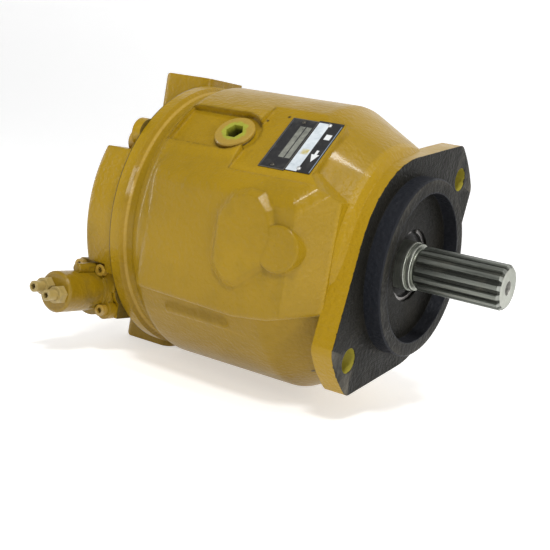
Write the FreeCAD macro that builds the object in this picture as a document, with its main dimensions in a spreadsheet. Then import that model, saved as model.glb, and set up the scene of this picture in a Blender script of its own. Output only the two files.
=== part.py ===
import FreeCAD, Part
import math
import os

import PartDesign
import Sketcher
from FreeCAD import Placement, Rotation, Vector

# Variable axial piston pump, swashplate type.
# Origin: centre of the mounting face on the shaft axis. +X runs out along the shaft,
# +Z is up through the suction port, -Y is the side with the control valve.

doc = FreeCAD.newDocument("axial_piston_pump")
dims = doc.addObject("Spreadsheet::Sheet", "Dims")

VALUES = {
    # mounting flange, two-bolt 127 mm pilot
    "flange_thick": 16.0,
    "flange_tip_r": 106.5,
    "flange_neck_r": 76.65,
    "flange_line_angle": 56.0,
    "ear_corner_r": 9.0,
    "ear_angle": 45.0,
    "bolt_pitch_r": 90.5,
    "bolt_hole_r": 8.75,
    "pilot_r": 63.5,
    "pilot_height": 12.7,
    "recess_r": 53.4,
    "recess_floor_x": 2.0,
    "pilot_chamfer": 1.0,
    # housing shell
    "joint_x": -188.0,
    "rim_r": 102.0,
    "rim_front_x": -176.0,
    "valley_r": 97.8,
    "valley_x": -170.0,
    "body_rear_x": -160.0,
    "body_r": 104.4,
    "flare_x": -57.0,
    "neck_r": 81.3,
    "neck_x": -12.0,
    "flare_blend": 12.0,
    "shoulder_blend": 7.0,
    "side_y": 107.0,
    "side_rear_y": 104.5,
    "side_top_z": 57.0,
    "side_facet": 100.3,
    "side_low_z": -46.0,
    "side_rear_x": -159.0,
    "side_front_x": -34.0,
    "side_toe_x": -15.0,
    "side_toe_y": 84.0,
    "side_toe_z": 34.0,
    "side_blend": 9.0,
    "side_crest_blend": 14.0,
    "side_low_blend": 3.5,
    "side_inner_y": 60.0,
    "shelf_y": 90.0,
    "shelf_low_z": -62.0,
    "shelf_rear_x": -139.0,
    "shelf_front_x": -84.0,
    "boss_x": -71.0,
    "boss_z": 4.0,
    "boss_half_x": 24.0,
    "boss_half_z": 34.0,
    "boss_y": 110.0,
    "boss_draft": 4.6,
    "spot_x": -42.0,
    "spot_z": 3.0,
    "spot_r": 15.6,
    "spot_y": 109.6,
    "plug_flat": 99.0,
    "plug_flat_half": 33.5,
    "plug_flat_rear_x": -100.0,
    "plug_flat_front_x": -30.0,
    "plug_spot": 97.7,
    "plug_spot_r": 19.5,
    "plug_channel_half": 18.8,
    "plug_channel_rear_x": -163.0,
    "plate_pad_rear_x": -84.0,
    "plate_pad_front_x": -38.5,
    "plate_pad_half": 27.5,
    "lug_pitch_r": 93.6,
    "lug_r": 11.0,
    "lug_angle": 39.0,
    "cavity_r": 88.0,
    "cavity_front_x": -62.0,
    "throat_r": 76.0,
    "throat_x": -38.0,
    "hub_r": 46.0,
    "hub_pocket_r": 66.0,
    "hub_pocket_x": -22.0,
    "bearing_bore_r": 36.0,
    "bearing_seat_x": -14.0,
    "seal_bore_r": 26.0,
    "seal_shoulder_r": 23.5,
    "snap_groove_r": 27.6,
    "snap_groove_x": -1.6,
    "snap_groove_w": 1.7,
    "screw_boss_r": 12.0,
    "screw_boss_pitch_r": 82.0,
    "screw_boss_front_x": -150.0,
    "screw_drill_depth": 26.0,
    # swashplate and its cradle
    "tilt_x": -88.0,
    "cradle_r": 48.0,
    "shell_thick": 1.95,
    "swash_arc_r": 46.0,
    "cradle_half_y": 30.0,
    "cradle_inner_z": 27.0,
    "cradle_outer_z": 47.0,
    "shell_inner_z": 28.0,
    "shell_outer_z": 46.0,
    "cheek_inner_z": 26.0,
    "cheek_outer_z": 48.0,
    "swash_face_x": -78.0,
    "swash_front_x": -64.0,
    "swash_r": 54.0,
    "swash_bore_r": 24.5,
    "swash_flare_r": 29.5,
    "arm_y": 80.0,
    "arm_half_z": 14.0,
    "arm_rear_x": -79.6,
    "arm_front_x": -66.0,
    # rotating group
    "piston_count": 9.0,
    "piston_pitch_r": 39.0,
    "piston_r": 10.0,
    "piston_bore_r": 10.04,
    "piston_head_x": -97.0,
    "piston_rear_x": -155.0,
    "piston_hollow_r": 6.2,
    "piston_hollow_x": -104.0,
    "piston_neck_r": 4.6,
    "ball_r": 7.0,
    "ball_socket_r": 7.04,
    "slipper_face_x": -78.2,
    "slipper_collar_r": 12.8,
    "slipper_collar_x": -81.4,
    "slipper_neck_r": 9.0,
    "slipper_rear_x": -91.4,
    "slipper_land_r": 8.0,
    "slipper_pocket": 0.8,
    "oil_hole_r": 1.0,
    "barrel_r": 56.0,
    "barrel_front_x": -110.0,
    "barrel_rear_x": -182.9,
    "barrel_bottom_x": -171.0,
    "barrel_bore_r": 19.1,
    "barrel_pocket_r": 26.0,
    "barrel_pocket_front_x": -124.0,
    "barrel_pocket_rear_x": -166.0,
    "kidney_half_w": 6.0,
    "kidney_slot_len": 11.0,
    "spline_r": 21.0,
    "spline_root_r": 19.0,
    "spline_teeth": 18.0,
    "guide_ball_r": 25.5,
    "guide_bore_r": 21.1,
    "guide_skirt_r": 24.5,
    "guide_skirt_x": -94.0,
    "guide_rear_x": -100.0,
    "guide_front_x": -77.0,
    "retainer_r": 52.5,
    "retainer_rear_x": -85.4,
    "retainer_front_x": -81.6,
    "retainer_hole_r": 11.2,
    "retainer_seat_r": 25.56,
    "spring_pitch_r": 23.6,
    "spring_wire_r": 1.6,
    "spring_turns": 5.0,
    "spring_front_x": -129.0,
    "spring_rear_x": -161.0,
    "pin_r": 1.4,
    "pin_pitch_r": 22.95,
    # drive shaft
    "shaft_end_x": 75.2,
    "drive_major_r": 15.875,
    "drive_minor_r": 13.6,
    "drive_start_x": 11.0,
    "drive_teeth": 14.0,
    "drive_chamfer": 2.0,
    "collar_x": 9.5,
    "collar_r": 16.7,
    "groove_x": 7.0,
    "groove_floor_r": 15.6,
    "land_x": 5.5,
    "land_r": 17.5,
    "shaft_shoulder_x": -38.25,
    "shaft_shoulder_r": 22.0,
    "shaft_shoulder_w": 8.0,
    "shaft_waist_r": 18.5,
    "shaft_waist_x": -73.0,
    "shaft_rear_neck_x": -181.0,
    "shaft_neck_r": 17.0,
    "shaft_tail_shoulder_x": -193.75,
    "shaft_tail_r": 12.5,
    "shaft_tail_x": -212.0,
    "centre_hole_r": 5.0,
    "centre_hole_depth": 12.0,
    # bearings
    "front_cone_w": 23.0,
    "front_width": 24.25,
    "front_cup_w": 19.0,
    "front_bore_r": 17.5,
    "front_outer_r": 36.0,
    "rear_outer_r": 26.0,
    "rear_width": 16.25,
    "rear_cup_w": 13.0,
    "rear_cone_w": 15.0,
    "rear_bore_r": 12.5,
    "rear_seat_x": -210.0,
    "front_mean_r": 26.6,
    "front_mid_x": -26.2,
    "front_roller_len": 15.0,
    "rear_mean_r": 19.2,
    "rear_mid_x": -202.0,
    "rear_roller_len": 10.0,
    "taper": 12.0,
    "roller_half": 2.0,
    "roller_gap": 0.02,
    "cage_half": 0.6,
    "front_rollers": 16.0,
    "rear_rollers": 15.0,
    # port plate
    "plate_base_x": -196.0,
    "plate_base_r": 94.0,
    "wing_x": -214.0,
    "wing_r": 100.0,
    "wing_top_z": 46.0,
    "wing_low_z": -46.0,
    "plate_rear_x": -234.0,
    "core_r": 52.0,
    "pad_near_y": -10.0,
    "pad_far_y": 40.0,
    "pad_top_z": 107.5,
    "pad_front_x": -189.0,
    "port_x": -212.0,
    "port_y": 15.0,
    "suction_bore_r": 14.0,
    "suction_thread_r": 16.65,
    "suction_spot_r": 20.5,
    "pressure_bore_r": 10.0,
    "pressure_thread_r": 13.5,
    "pressure_spot_r": 17.5,
    "port_thread_len": 20.0,
    "spot_depth": 0.8,
    "port_bore_end_z": 35.0,
    "gasket_r": 91.0,
    "gasket_wire_r": 1.0,
    "gasket_groove_w": 2.9,
    "gasket_groove_h": 2.1,
    "rear_pocket_x": -215.0,
    "rear_pocket_r": 16.0,
    "screw_pocket_r": 10.2,
    "pad_blend": 7.0,
    "valve_pad_in_y": -5.0,
    "valve_pad_x0": -226.0,
    "valve_pad_x1": -188.0,
    "valve_pad_corner": 12.0,
    "valve_pad_blend": 5.0,
    "gallery_r": 2.5,
    "gallery_z": -76.0,
    "kidney_depth": 17.0,
    "valve_plate_r": 52.0,
    "valve_plate_bore_r": 26.5,
    "valve_plate_x": -183.0,
    "kidney_span": 62.0,
    "cap_screw_r": 6.0,
    "cap_clear_r": 6.6,
    "cap_head_r": 9.0,
    "cap_head_h": 12.0,
    "cap_length": 30.0,
    "cap_socket": 10.0,
    # stroke control
    "guide_y": 72.0,
    "guide_rod_r": 10.97,
    "guide_rod_x": -129.0,
    "rod_stub_r": 8.0,
    "rod_stub_len": 12.0,
    "cup_r": 14.0,
    "cup_bore_r": 11.02,
    "cup_rear_x": -152.0,
    "cup_floor_x": -104.0,
    "cup_head_x": -98.0,
    "tip_r": 7.9,
    "bias_rod_r": 6.97,
    "bias_bore_r": 7.02,
    "bias_r": 10.0,
    "bias_flange_r": 14.0,
    "bias_flange_x": -105.0,
    "bias_spring_r": 12.3,
    "bias_wire_r": 1.5,
    "bias_turns": 12.0,
    # control valve
    "valve_x": -209.7,
    "valve_z": -62.3,
    "valve_pad_y": -78.0,
    "valve_base_y": -86.0,
    "valve_cyl_y": -125.0,
    "valve_cyl_r": 15.0,
    "valve_ring_r": 16.4,
    "valve_ring_y": -88.5,
    "valve_base_x0": -226.0,
    "valve_base_x1": -188.5,
    "valve_base_z0": -80.0,
    "valve_base_z1": -40.0,
    "valve_blend": 4.0,
    "valve_round_r": 18.5,
    "valve_block_z0": -60.0,
    "valve_lug_x": -195.4,
    "valve_lug_z": -74.4,
    "valve_lug_r": 6.8,
    "valve_screw_x0": -221.0,
    "valve_screw_x1": -200.6,
    "valve_screw_z1": -45.2,
    "valve_screw_reach": 6.5,
    "valve_seal_r": 4.6,
    "valve_seal_wire_r": 0.9,
    "end_plug_r": 5.0,
    "end_plug_h": 3.0,
    "flow_x": -216.6,
    "flow_z": -59.4,
    "pressure_x": -203.6,
    "pressure_z": -62.9,
    "nut_turn": 15.0,
    "spool_r": 3.5,
    "spool_bore_r": 3.53,
    "spring_bore_r": 5.4,
    "spring_bore_y": -101.0,
    "spool_front_y": -102.0,
    "spool_rear_y": -82.3,
    "spool_land": 9.0,
    "spool_waist_r": 2.2,
    "valve_spring_r": 4.1,
    "valve_wire_r": 0.7,
    "valve_turns": 6.0,
    "valve_spring_front_y": -115.0,
    "valve_spring_rear_y": -104.0,
    "adjuster_r": 4.0,
    "adjuster_bore_r": 4.04,
    "adjuster_tip_y": -140.0,
    "adjuster_inner_y": -116.0,
    "adjuster_socket": 4.0,
    "lock_nut_flats": 12.0,
    "lock_nut_h": 6.5,
    "valve_screw_r": 2.5,
    "valve_screw_clear_r": 2.75,
    "valve_screw_head_r": 4.25,
    "valve_screw_head_h": 5.0,
    "valve_screw_len": 16.0,
    "rib_x": -208.0,
    "rib_z": -44.9,
    "rib_r": 3.7,
    "rib_end_y": -108.0,
    # drain plugs, plates, seal
    "plug_x": -115.0,
    "plug_collar_r": 14.8,
    "plug_collar_h": 2.7,
    "plug_thread_r": 11.5,
    "plug_thread_len": 14.0,
    "plug_hex": 12.0,
    "plug_seal_h": 1.2,
    "label_x": -80.5,
    "label_w": 20.5,
    "label_h": 50.0,
    "label_thick": 0.6,
    "second_x": -59.8,
    "second_w": 19.3,
    "second_h": 50.0,
    "rivet_r": 1.6,
    "rivet_h": 1.2,
    "seal_inner_r": 17.6,
    "seal_front_x": -1.8,
    "seal_rear_x": -10.0,
}

ROW = 1
for alias, value in VALUES.items():
    dims.set("A%d" % ROW, alias)
    dims.set("B%d" % ROW, str(value))
    dims.setAlias("B%d" % ROW, alias)
    ROW += 1
doc.recompute()


def d(alias):
    return float(dims.get(alias))


def sheet_text(text):
    """Turn a formula over aliases into one over the sheet's cells."""
    out = []
    word = ""
    for ch in text + " ":
        if ch.isalnum() or ch == "_":
            word += ch
        else:
            if word in VALUES:
                out.append("Dims." + word)
            else:
                out.append(word)
            word = ""
            out.append(ch)
    return "".join(out).strip()


def number(text):
    return float(dims.evalExpression(sheet_text(str(text))))


AXES = {
    "X": Rotation(Vector(0, 1, 0), 90),
    "-X": Rotation(Vector(0, 1, 0), -90),
    "Y": Rotation(Vector(1, 0, 0), -90),
    "-Y": Rotation(Vector(1, 0, 0), 90),
    "Z": Rotation(),
    "-Z": Rotation(Vector(1, 0, 0), 180),
}


def bind(obj, prop, text):
    obj.setExpression(prop, sheet_text(str(text)))


def place(obj, at, rotation=None):
    obj.Placement = Placement(Vector(0, 0, 0), rotation or Rotation())
    for axis, text in zip("xyz", at):
        bind(obj, "Placement.Base." + axis, text)
    return obj


def cylinder(label, radius, height, at, axis="X", extra=None):
    obj = doc.addObject("Part::Cylinder", label)
    bind(obj, "Radius", radius)
    bind(obj, "Height", height)
    rotation = AXES[axis] if extra is None else extra.multiply(AXES[axis])
    return place(obj, at, rotation)


def cone(label, radius1, radius2, height, at, axis="X"):
    obj = doc.addObject("Part::Cone", label)
    bind(obj, "Radius1", radius1)
    bind(obj, "Radius2", radius2)
    bind(obj, "Height", height)
    return place(obj, at, AXES[axis])


def box(label, size, at, rotation=None):
    obj = doc.addObject("Part::Box", label)
    for prop, text in zip(("Length", "Width", "Height"), size):
        bind(obj, prop, text)
    return place(obj, at, rotation)


def sphere(label, radius, at):
    obj = doc.addObject("Part::Sphere", label)
    bind(obj, "Radius", radius)
    return place(obj, at)


def hexagon(label, flats, height, at, axis="X", rotation=None):
    obj = doc.addObject("Part::Prism", label)
    obj.Polygon = 6
    bind(obj, "Circumradius", "(%s) / 2 / cos(30deg)" % flats)
    bind(obj, "Height", height)
    return place(obj, at, rotation or AXES[axis])


def fuse(label, parts):
    obj = doc.addObject("Part::MultiFuse", label)
    obj.Shapes = parts
    obj.Refine = True
    return obj


def cut(label, base, tools):
    """Take the tools away one after another; the last cut carries the label."""
    for i, tool in enumerate(tools):
        last = i == len(tools) - 1
        obj = doc.addObject("Part::Cut", label if last else "%s_step_%d" % (label, i + 1))
        obj.Base = base
        obj.Tool = tool
        obj.Refine = last
        base = obj
    return base


def common(label, parts):
    obj = doc.addObject("Part::MultiCommon", label)
    obj.Shapes = parts
    return obj


def group(label, parts):
    obj = doc.addObject("Part::Compound", label)
    obj.Links = parts
    return obj


def outline(sketch, points):
    """Closed polygon, every corner placed from the sheet."""
    values = [(number(u), number(v)) for u, v in points]
    count = len(points)
    for i in range(count):
        a = Vector(values[i][0], values[i][1], 0)
        b = Vector(values[(i + 1) % count][0], values[(i + 1) % count][1], 0)
        sketch.addGeometry(Part.LineSegment(a, b), False)
    for i in range(count):
        sketch.addConstraint(Sketcher.Constraint("Coincident", i, 2, (i + 1) % count, 1))
    for i, (u, v) in enumerate(points):
        for kind, text, value, axis in (("DistanceX", u, values[i][0], -2), ("DistanceY", v, values[i][1], -1)):
            if abs(value) < 1e-9:
                sketch.addConstraint(Sketcher.Constraint("PointOnObject", i, 1, axis))
            else:
                row = sketch.addConstraint(Sketcher.Constraint(kind, -1, 1, i, 1, value))
                sketch.setExpression("Constraints[%d]" % row, sheet_text(str(text)))


def origin_plane(body, role):
    for feature in body.Origin.OriginFeatures:
        if feature.Role == role:
            return feature
    return None


def body_sketch(body, label, points, role="XZ_Plane"):
    sketch = body.newObject("Sketcher::SketchObject", label)
    sketch.AttachmentSupport = [(origin_plane(body, role), "")]
    sketch.MapMode = "FlatFace"
    outline(sketch, points)
    return sketch


def turned(label, points, at=None, rotation=None):
    """Body turned about its own X axis from (x, radius) corners."""
    body = doc.addObject("PartDesign::Body", label)
    sketch = body_sketch(body, label + "_profile", points)
    turn = body.newObject("PartDesign::Revolution", label + "_turn")
    turn.Profile = sketch
    turn.ReferenceAxis = (sketch, ["H_Axis"])
    turn.Angle = 360.0
    sketch.Visibility = False
    body.Tip = turn
    if at is not None:
        place(body, at, rotation)
    return body


def padded(label, points, length, at=None, rotation=None, role="YZ_Plane"):
    """Body extruded along its own X axis from (y, z) corners."""
    body = doc.addObject("PartDesign::Body", label)
    sketch = body_sketch(body, label + "_profile", points, role)
    pad = body.newObject("PartDesign::Pad", label + "_pad")
    pad.Profile = sketch
    bind(pad, "Length", length)
    sketch.Visibility = False
    body.Tip = pad
    if at is not None:
        place(body, at, rotation)
    return body


def ring_points(inner_r, outer_r, x0, x1):
    return [(x0, inner_r), (x1, inner_r), (x1, outer_r), (x0, outer_r)]


def rounded(label, base, radius, chosen):
    """Fillet the edges of base that the test picks out."""
    doc.recompute()
    obj = doc.addObject("Part::Fillet", label)
    obj.Base = base
    picked = [i + 1 for i, edge in enumerate(base.Shape.Edges) if chosen(edge)]
    obj.Edges = [(i, number(radius), number(radius)) for i in picked]
    return obj


def chamfered(label, base, size, chosen):
    doc.recompute()
    obj = doc.addObject("Part::Chamfer", label)
    obj.Base = base
    picked = [i + 1 for i, edge in enumerate(base.Shape.Edges) if chosen(edge)]
    obj.Edges = [(i, number(size), number(size)) for i in picked]
    return obj


def circle_at(axis, where, radius, slack=0.2):
    """Test for a circular edge in the plane axis = where."""
    def test(edge):
        curve = edge.Curve
        if not isinstance(curve, Part.Circle):
            return False
        centre = {"x": curve.Center.x, "y": curve.Center.y, "z": curve.Center.z}[axis]
        return abs(centre - where) < slack and abs(curve.Radius - radius) < slack
    return test


def about_x(radius, degrees):
    """Formula pair for a point at a pitch radius and an angle from +Y towards +Z."""
    return "(%s) * cos((%s) * 1deg)" % (radius, degrees), "(%s) * sin((%s) * 1deg)" % (radius, degrees)


def step_angles(count, start=0.0):
    return [start + 360.0 * i / count for i in range(int(count))]


NODES = {}


def node(name, obj):
    obj.Label = name
    NODES[name] = obj
    return obj


# ---------------------------------------------------------------- housing
def flange_blank():
    angle = "flange_line_angle * 1deg"
    tip = "flange_neck_r / cos(%s)" % angle
    side_u = "flange_neck_r * cos(%s)" % angle
    side_v = "flange_neck_r * sin(%s)" % angle
    corners = [
        (tip, "0"), (side_u, side_v), ("-1 * " + side_u, side_v),
        ("-1 * " + tip, "0"), ("-1 * " + side_u, "-1 * " + side_v), (side_u, "-1 * " + side_v),
    ]
    ears = padded("flange_ears", corners, "flange_thick", ("-1 * flange_thick", "0", "0"),
                  Rotation(Vector(1, 0, 0), d("ear_angle")))
    disc = cylinder("flange_limit", "flange_tip_r", "flange_thick", ("-1 * flange_thick", "0", "0"))
    trimmed = common("flange_trimmed", [ears, disc])

    def ear_corner(edge):
        if len(edge.Vertexes) != 2:
            return False
        a, b = edge.Vertexes[0].Point, edge.Vertexes[1].Point
        along_x = abs(a.x - b.x) > 1 and abs(a.y - b.y) < 0.01 and abs(a.z - b.z) < 0.01
        return along_x and math.hypot(a.y, a.z) > d("flange_tip_r") - 1

    corners_done = rounded("flange_rounded", trimmed, "ear_corner_r", ear_corner)
    neck = cylinder("flange_neck", "flange_neck_r", "flange_thick", ("-1 * flange_thick", "0", "0"))
    return [corners_done, neck]


shell_profile = [
    ("neck_x + 4", "0"), ("neck_x + 4", "flange_neck_r - 1"), ("neck_x", "neck_r"), ("flare_x", "body_r"),
    ("body_rear_x", "body_r"), ("valley_x", "valley_r"), ("rim_front_x", "valley_r"),
    ("rim_front_x - 3", "rim_r"), ("joint_x", "rim_r"), ("joint_x", "0"),
]
shell_turn = turned("shell_turn", shell_profile)
shell = rounded("shell_flare", shell_turn, "flare_blend", circle_at("x", d("flare_x"), d("body_r")))
shell = rounded("shell_shoulder", shell, "shoulder_blend", circle_at("x", d("body_rear_x"), d("body_r")))

housing_outer = [shell] + flange_blank()
side_elevation = padded("side_elevation", [
    ("side_rear_x - 2", "side_low_z"), ("boss_x", "side_low_z - 2.4"), ("side_front_x - 10", "side_low_z + 1"),
    ("side_toe_x + 6", "-1 * side_toe_z"), ("side_toe_x + 6", "side_toe_z"), ("side_front_x - 8", "side_top_z"),
    ("side_rear_x - 2", "side_top_z"),
], "2 * side_y + 40", ("0", "side_y + 20", "0"), None, "XZ_Plane")


# corners of the raised boss, in shares of its half width and half height
BOSS_CORNERS = [
    (-0.54, 0.88), (-1.0, 0.41), (-0.94, -0.62), (-0.42, -0.96), (0.04, -1.0), (0.46, -0.75),
    (0.88, -0.5), (1.12, 0.18), (0.88, 0.7), (0.46, 0.97), (0.0, 1.0),
]


def on_side(side, test):
    """Test for edges wholly on the outer side wall that also pass the second test."""
    def both(edge):
        points = [v.Point for v in edge.Vertexes]
        return all(side * p.y > d("side_inner_y") + 1 for p in points) and test(edge, points)
    return both


def straight_along(edge, points, axis_index):
    return abs(points[0][axis_index] - points[-1][axis_index]) > 5


for side, name in ((-1, "near"), (1, "far")):
    plan = padded("side_plan_" + name, [
        ("side_rear_x", "%d * side_inner_y" % side), ("side_rear_x", "%d * side_rear_y" % side),
        ("side_front_x", "%d * side_y" % side), ("side_toe_x", "%d * side_toe_y" % side),
        ("side_toe_x", "%d * side_inner_y" % side),
    ], "side_top_z - side_low_z + 20", ("0", "0", "side_low_z - 10"), None, "XY_Plane")
    degrees = 90 - side * 45.0
    facet_y, facet_z = about_x("side_facet", degrees)
    reach_y, reach_z = about_x("100", degrees - 90.0)
    facet = box("side_facet_" + name, ("200", "200", "60"),
                ("side_rear_x - 20", "%s - (%s)" % (facet_y, reach_y), "%s - (%s)" % (facet_z, reach_z)),
                Rotation(Vector(1, 0, 0), degrees - 90.0))
    slab = cut("side_slab_" + name, common("side_block_" + name, [plan, side_elevation]), [facet])
    facet_line = d("side_facet") * math.sqrt(2)
    slab = rounded("side_crest_" + name, slab, "side_crest_blend", on_side(side, lambda edge, points: (
        straight_along(edge, points, 0) and all(abs(side * p.y + p.z - facet_line) < 0.05 for p in points)
        and edge.CenterOfMass.z < d("side_top_z") - 1)))
    slab = rounded("side_corner_" + name, slab, "side_blend", on_side(side, lambda edge, points: (
        all(abs(p.x - d("side_rear_x")) < 0.05 for p in points) and edge.CenterOfMass.z > d("side_low_z") + 1)))
    slab = rounded("side_under_" + name, slab, "side_low_blend", on_side(side, lambda edge, points: (
        straight_along(edge, points, 0) and edge.CenterOfMass.z < -30)))
    housing_outer.append(slab)
    direction = "-Y" if side < 0 else "Y"
    start = "%d * side_inner_y" % side
    low_y = "-1 * shelf_y" if side < 0 else "side_inner_y"
    shelf = box("side_shelf_" + name, ("shelf_front_x - shelf_rear_x", "shelf_y - side_inner_y",
                                       "side_low_z - shelf_low_z + 8"), ("shelf_rear_x", low_y, "shelf_low_z"))
    housing_outer.append(rounded("side_shelf_round_" + name, shelf, "4", lambda edge: True))
    boss = padded("side_boss_" + name, [
        ("boss_x + %s * boss_half_x" % u, "boss_z + %s * boss_half_z" % w) for u, w in BOSS_CORNERS
    ], "boss_y - side_inner_y", ("0", "-1 * side_inner_y" if side < 0 else "boss_y", "0"), None, "XZ_Plane")
    housing_outer.append(chamfered("side_boss_draft_" + name, boss, "boss_draft",
                                   lambda edge: all(abs(v.Point.y - side * d("boss_y")) < 0.01
                                                    for v in edge.Vertexes)))
    spot = cylinder("side_spot_" + name, "spot_r", "spot_y - side_inner_y", ("spot_x", start, "spot_z"), direction)
    housing_outer.append(rounded("side_spot_round_" + name, spot, "1.2",
                                 circle_at("y", side * d("spot_y"), d("spot_r"))))

LUG_ANGLES = [d("lug_angle"), 180 - d("lug_angle"), 180 + d("lug_angle"), 360 - d("lug_angle")]

PLATE_TURN = Rotation(Vector(1, 0, 0), 135.0 - 90.0)
pad_y, pad_z = about_x("plug_flat - 19", 135.0)
pad_side_y, pad_side_z = about_x("plate_pad_half", 135.0 - 90.0)
plate_pad = box("plate_pad", ("plate_pad_front_x - plate_pad_rear_x", "2 * plate_pad_half", "19"),
                ("plate_pad_rear_x", "%s - (%s)" % (pad_y, pad_side_y), "%s - (%s)" % (pad_z, pad_side_z)), PLATE_TURN)
pad_rise = Vector(0, math.cos(math.radians(135)), math.sin(math.radians(135)))
housing_outer.append(rounded("plate_pad_round", plate_pad, "4",
                             lambda edge: abs((edge.Vertexes[0].Point - edge.Vertexes[-1].Point).dot(pad_rise)) > 10))
pilot = cylinder("pilot_ring", "pilot_r", "pilot_height + 2", ("-2", "0", "0"))
pilot = chamfered("pilot_edge", pilot, "pilot_chamfer", circle_at("x", d("pilot_height"), d("pilot_r")))
housing_outer.append(pilot)
outer = fuse("housing_outer", housing_outer)

cavity_profile = [
    ("joint_x - 1", "0"), ("joint_x - 1", "cavity_r"), ("cavity_front_x", "cavity_r"), ("throat_x", "throat_r"),
    ("throat_x", "hub_pocket_r"), ("hub_pocket_x", "hub_pocket_r - 4"), ("hub_pocket_x", "hub_r + 2"),
    ("throat_x", "hub_r"), ("throat_x", "bearing_bore_r"),
    ("bearing_seat_x", "bearing_bore_r"), ("bearing_seat_x", "seal_shoulder_r"),
    ("seal_rear_x", "seal_shoulder_r"), ("seal_rear_x", "seal_bore_r"),
    ("snap_groove_x", "seal_bore_r"), ("snap_groove_x", "snap_groove_r"),
    ("snap_groove_x + snap_groove_w", "snap_groove_r"), ("snap_groove_x + snap_groove_w", "seal_bore_r"),
    ("recess_floor_x", "seal_bore_r"), ("recess_floor_x", "recess_r"),
    ("pilot_height + 1", "recess_r"), ("pilot_height + 1", "0"),
]
cavity = turned("cavity_turn", cavity_profile)

keep_parts = []
for side, name in ((-1, "low"), (1, "high")):
    low_z = "cradle_inner_z" if side > 0 else "-1 * cradle_outer_z"
    block = box("cradle_block_" + name,
                ("throat_x + 8 - tilt_x - 20", "2 * cradle_half_y", "cradle_outer_z - cradle_inner_z"),
                ("tilt_x + 20", "-1 * cradle_half_y", low_z))
    arc = cylinder("cradle_arc_" + name, "cradle_r", "cradle_outer_z - cradle_inner_z + 4",
                   ("tilt_x", "0", low_z + " - 2"), "Z")
    bore = cylinder("cradle_bore_" + name, "bearing_bore_r + 1", "30", ("throat_x", "0", "0"))
    keep_parts.append(cut("cradle_seat_" + name, block, [arc, bore]))
screw_bosses = []
for i, angle in enumerate(LUG_ANGLES):
    y, z = about_x("screw_boss_pitch_r", angle)
    web_y, web_z = about_x("screw_boss_pitch_r + 10", angle)
    length = "screw_boss_front_x - joint_x"
    round_part = cylinder("screw_boss_%d" % (i + 1), "screw_boss_r", length, ("joint_x", y, z))
    web = cylinder("screw_web_%d" % (i + 1), "screw_boss_r - 2", length, ("joint_x", web_y, web_z))
    limit = cylinder("screw_limit_%d" % (i + 1), "rim_r - 4", length, ("joint_x", "0", "0"))
    keep_parts.append(common("screw_boss_trim_%d" % (i + 1), [fuse("screw_pair_%d" % (i + 1), [round_part, web]),
                                                             limit]))
hollow = cut("housing_hollow", cavity, keep_parts)

housing_tools = [hollow]
for i, sign in enumerate((1, -1)):
    y, z = about_x("%d * bolt_pitch_r" % sign, "ear_angle")
    housing_tools.append(cylinder("bolt_hole_%d" % (i + 1), "bolt_hole_r", "flange_thick + 2",
                                  ("-1 * flange_thick - 1", y, z)))
for i, angle in enumerate(LUG_ANGLES):
    y, z = about_x("screw_boss_pitch_r", angle)
    housing_tools.append(cylinder("boss_drill_%d" % (i + 1), "cap_screw_r", "screw_drill_depth + 1",
                                  ("joint_x - 1", y, z)))
out_y, out_z = about_x("plug_flat", 135.0)
side_y, side_z = about_x("plug_flat_half", 135.0 - 90.0)
housing_tools.append(box("plate_flat", ("plug_flat_front_x - plug_flat_rear_x", "2 * plug_flat_half", "30"),
                         ("plug_flat_rear_x", "%s - (%s)" % (out_y, side_y), "%s - (%s)" % (out_z, side_z)),
                         PLATE_TURN))
PLUG_DIRECTIONS = {"top": 135.0, "bottom": 315.0}
for name, degrees in PLUG_DIRECTIONS.items():
    turn = Rotation(Vector(1, 0, 0), degrees - 90.0)
    out_y, out_z = about_x("plug_spot", degrees)
    side_y, side_z = about_x("plug_channel_half", degrees - 90.0)
    channel = box("plug_channel_" + name, ("plug_x - plug_channel_rear_x", "2 * plug_channel_half", "30"),
                  ("plug_channel_rear_x", "%s - (%s)" % (out_y, side_y), "%s - (%s)" % (out_z, side_z)), turn)
    housing_tools.append(channel)
    drill_y, drill_z = about_x("cavity_r - 8", degrees)
    drill = doc.addObject("Part::Cylinder", "plug_drill_" + name)
    bind(drill, "Radius", "plug_thread_r")
    bind(drill, "Height", "plug_spot - cavity_r + 10")
    place(drill, ("plug_x", drill_y, drill_z), turn)
    housing_tools.append(drill)
    spot_y, spot_z = about_x("plug_spot", degrees)
    spot = doc.addObject("Part::Cylinder", "plug_spot_" + name)
    bind(spot, "Radius", "plug_spot_r")
    bind(spot, "Height", "12")
    place(spot, ("plug_x", spot_y, spot_z), turn)
    housing_tools.append(spot)

# ---------------------------------------------------------------- rear port plate
def kidney(label, pitch_r, half_w, middle, half_span, x0, length):
    """Curved slot on a pitch circle, round at both ends."""
    span = "2 * (%s)" % half_span
    sector = cylinder(label + "_sector", "%s + %s" % (pitch_r, half_w), length, (x0, "0", "0"), "X",
                      Rotation(Vector(1, 0, 0), middle - number(half_span) + 90))
    bind(sector, "Angle", span)
    core = cylinder(label + "_core", "%s - %s" % (pitch_r, half_w), "%s + 2" % length, ("%s - 1" % x0, "0", "0"))
    ends = []
    for sign in (-1, 1):
        y, z = about_x(pitch_r, "%s + %d * (%s)" % (middle, sign, half_span))
        ends.append(cylinder("%s_end_%s" % (label, "a" if sign < 0 else "b"), half_w, length, (x0, y, z)))
    return fuse(label, [cut(label + "_arc", sector, [core])] + ends)


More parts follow.
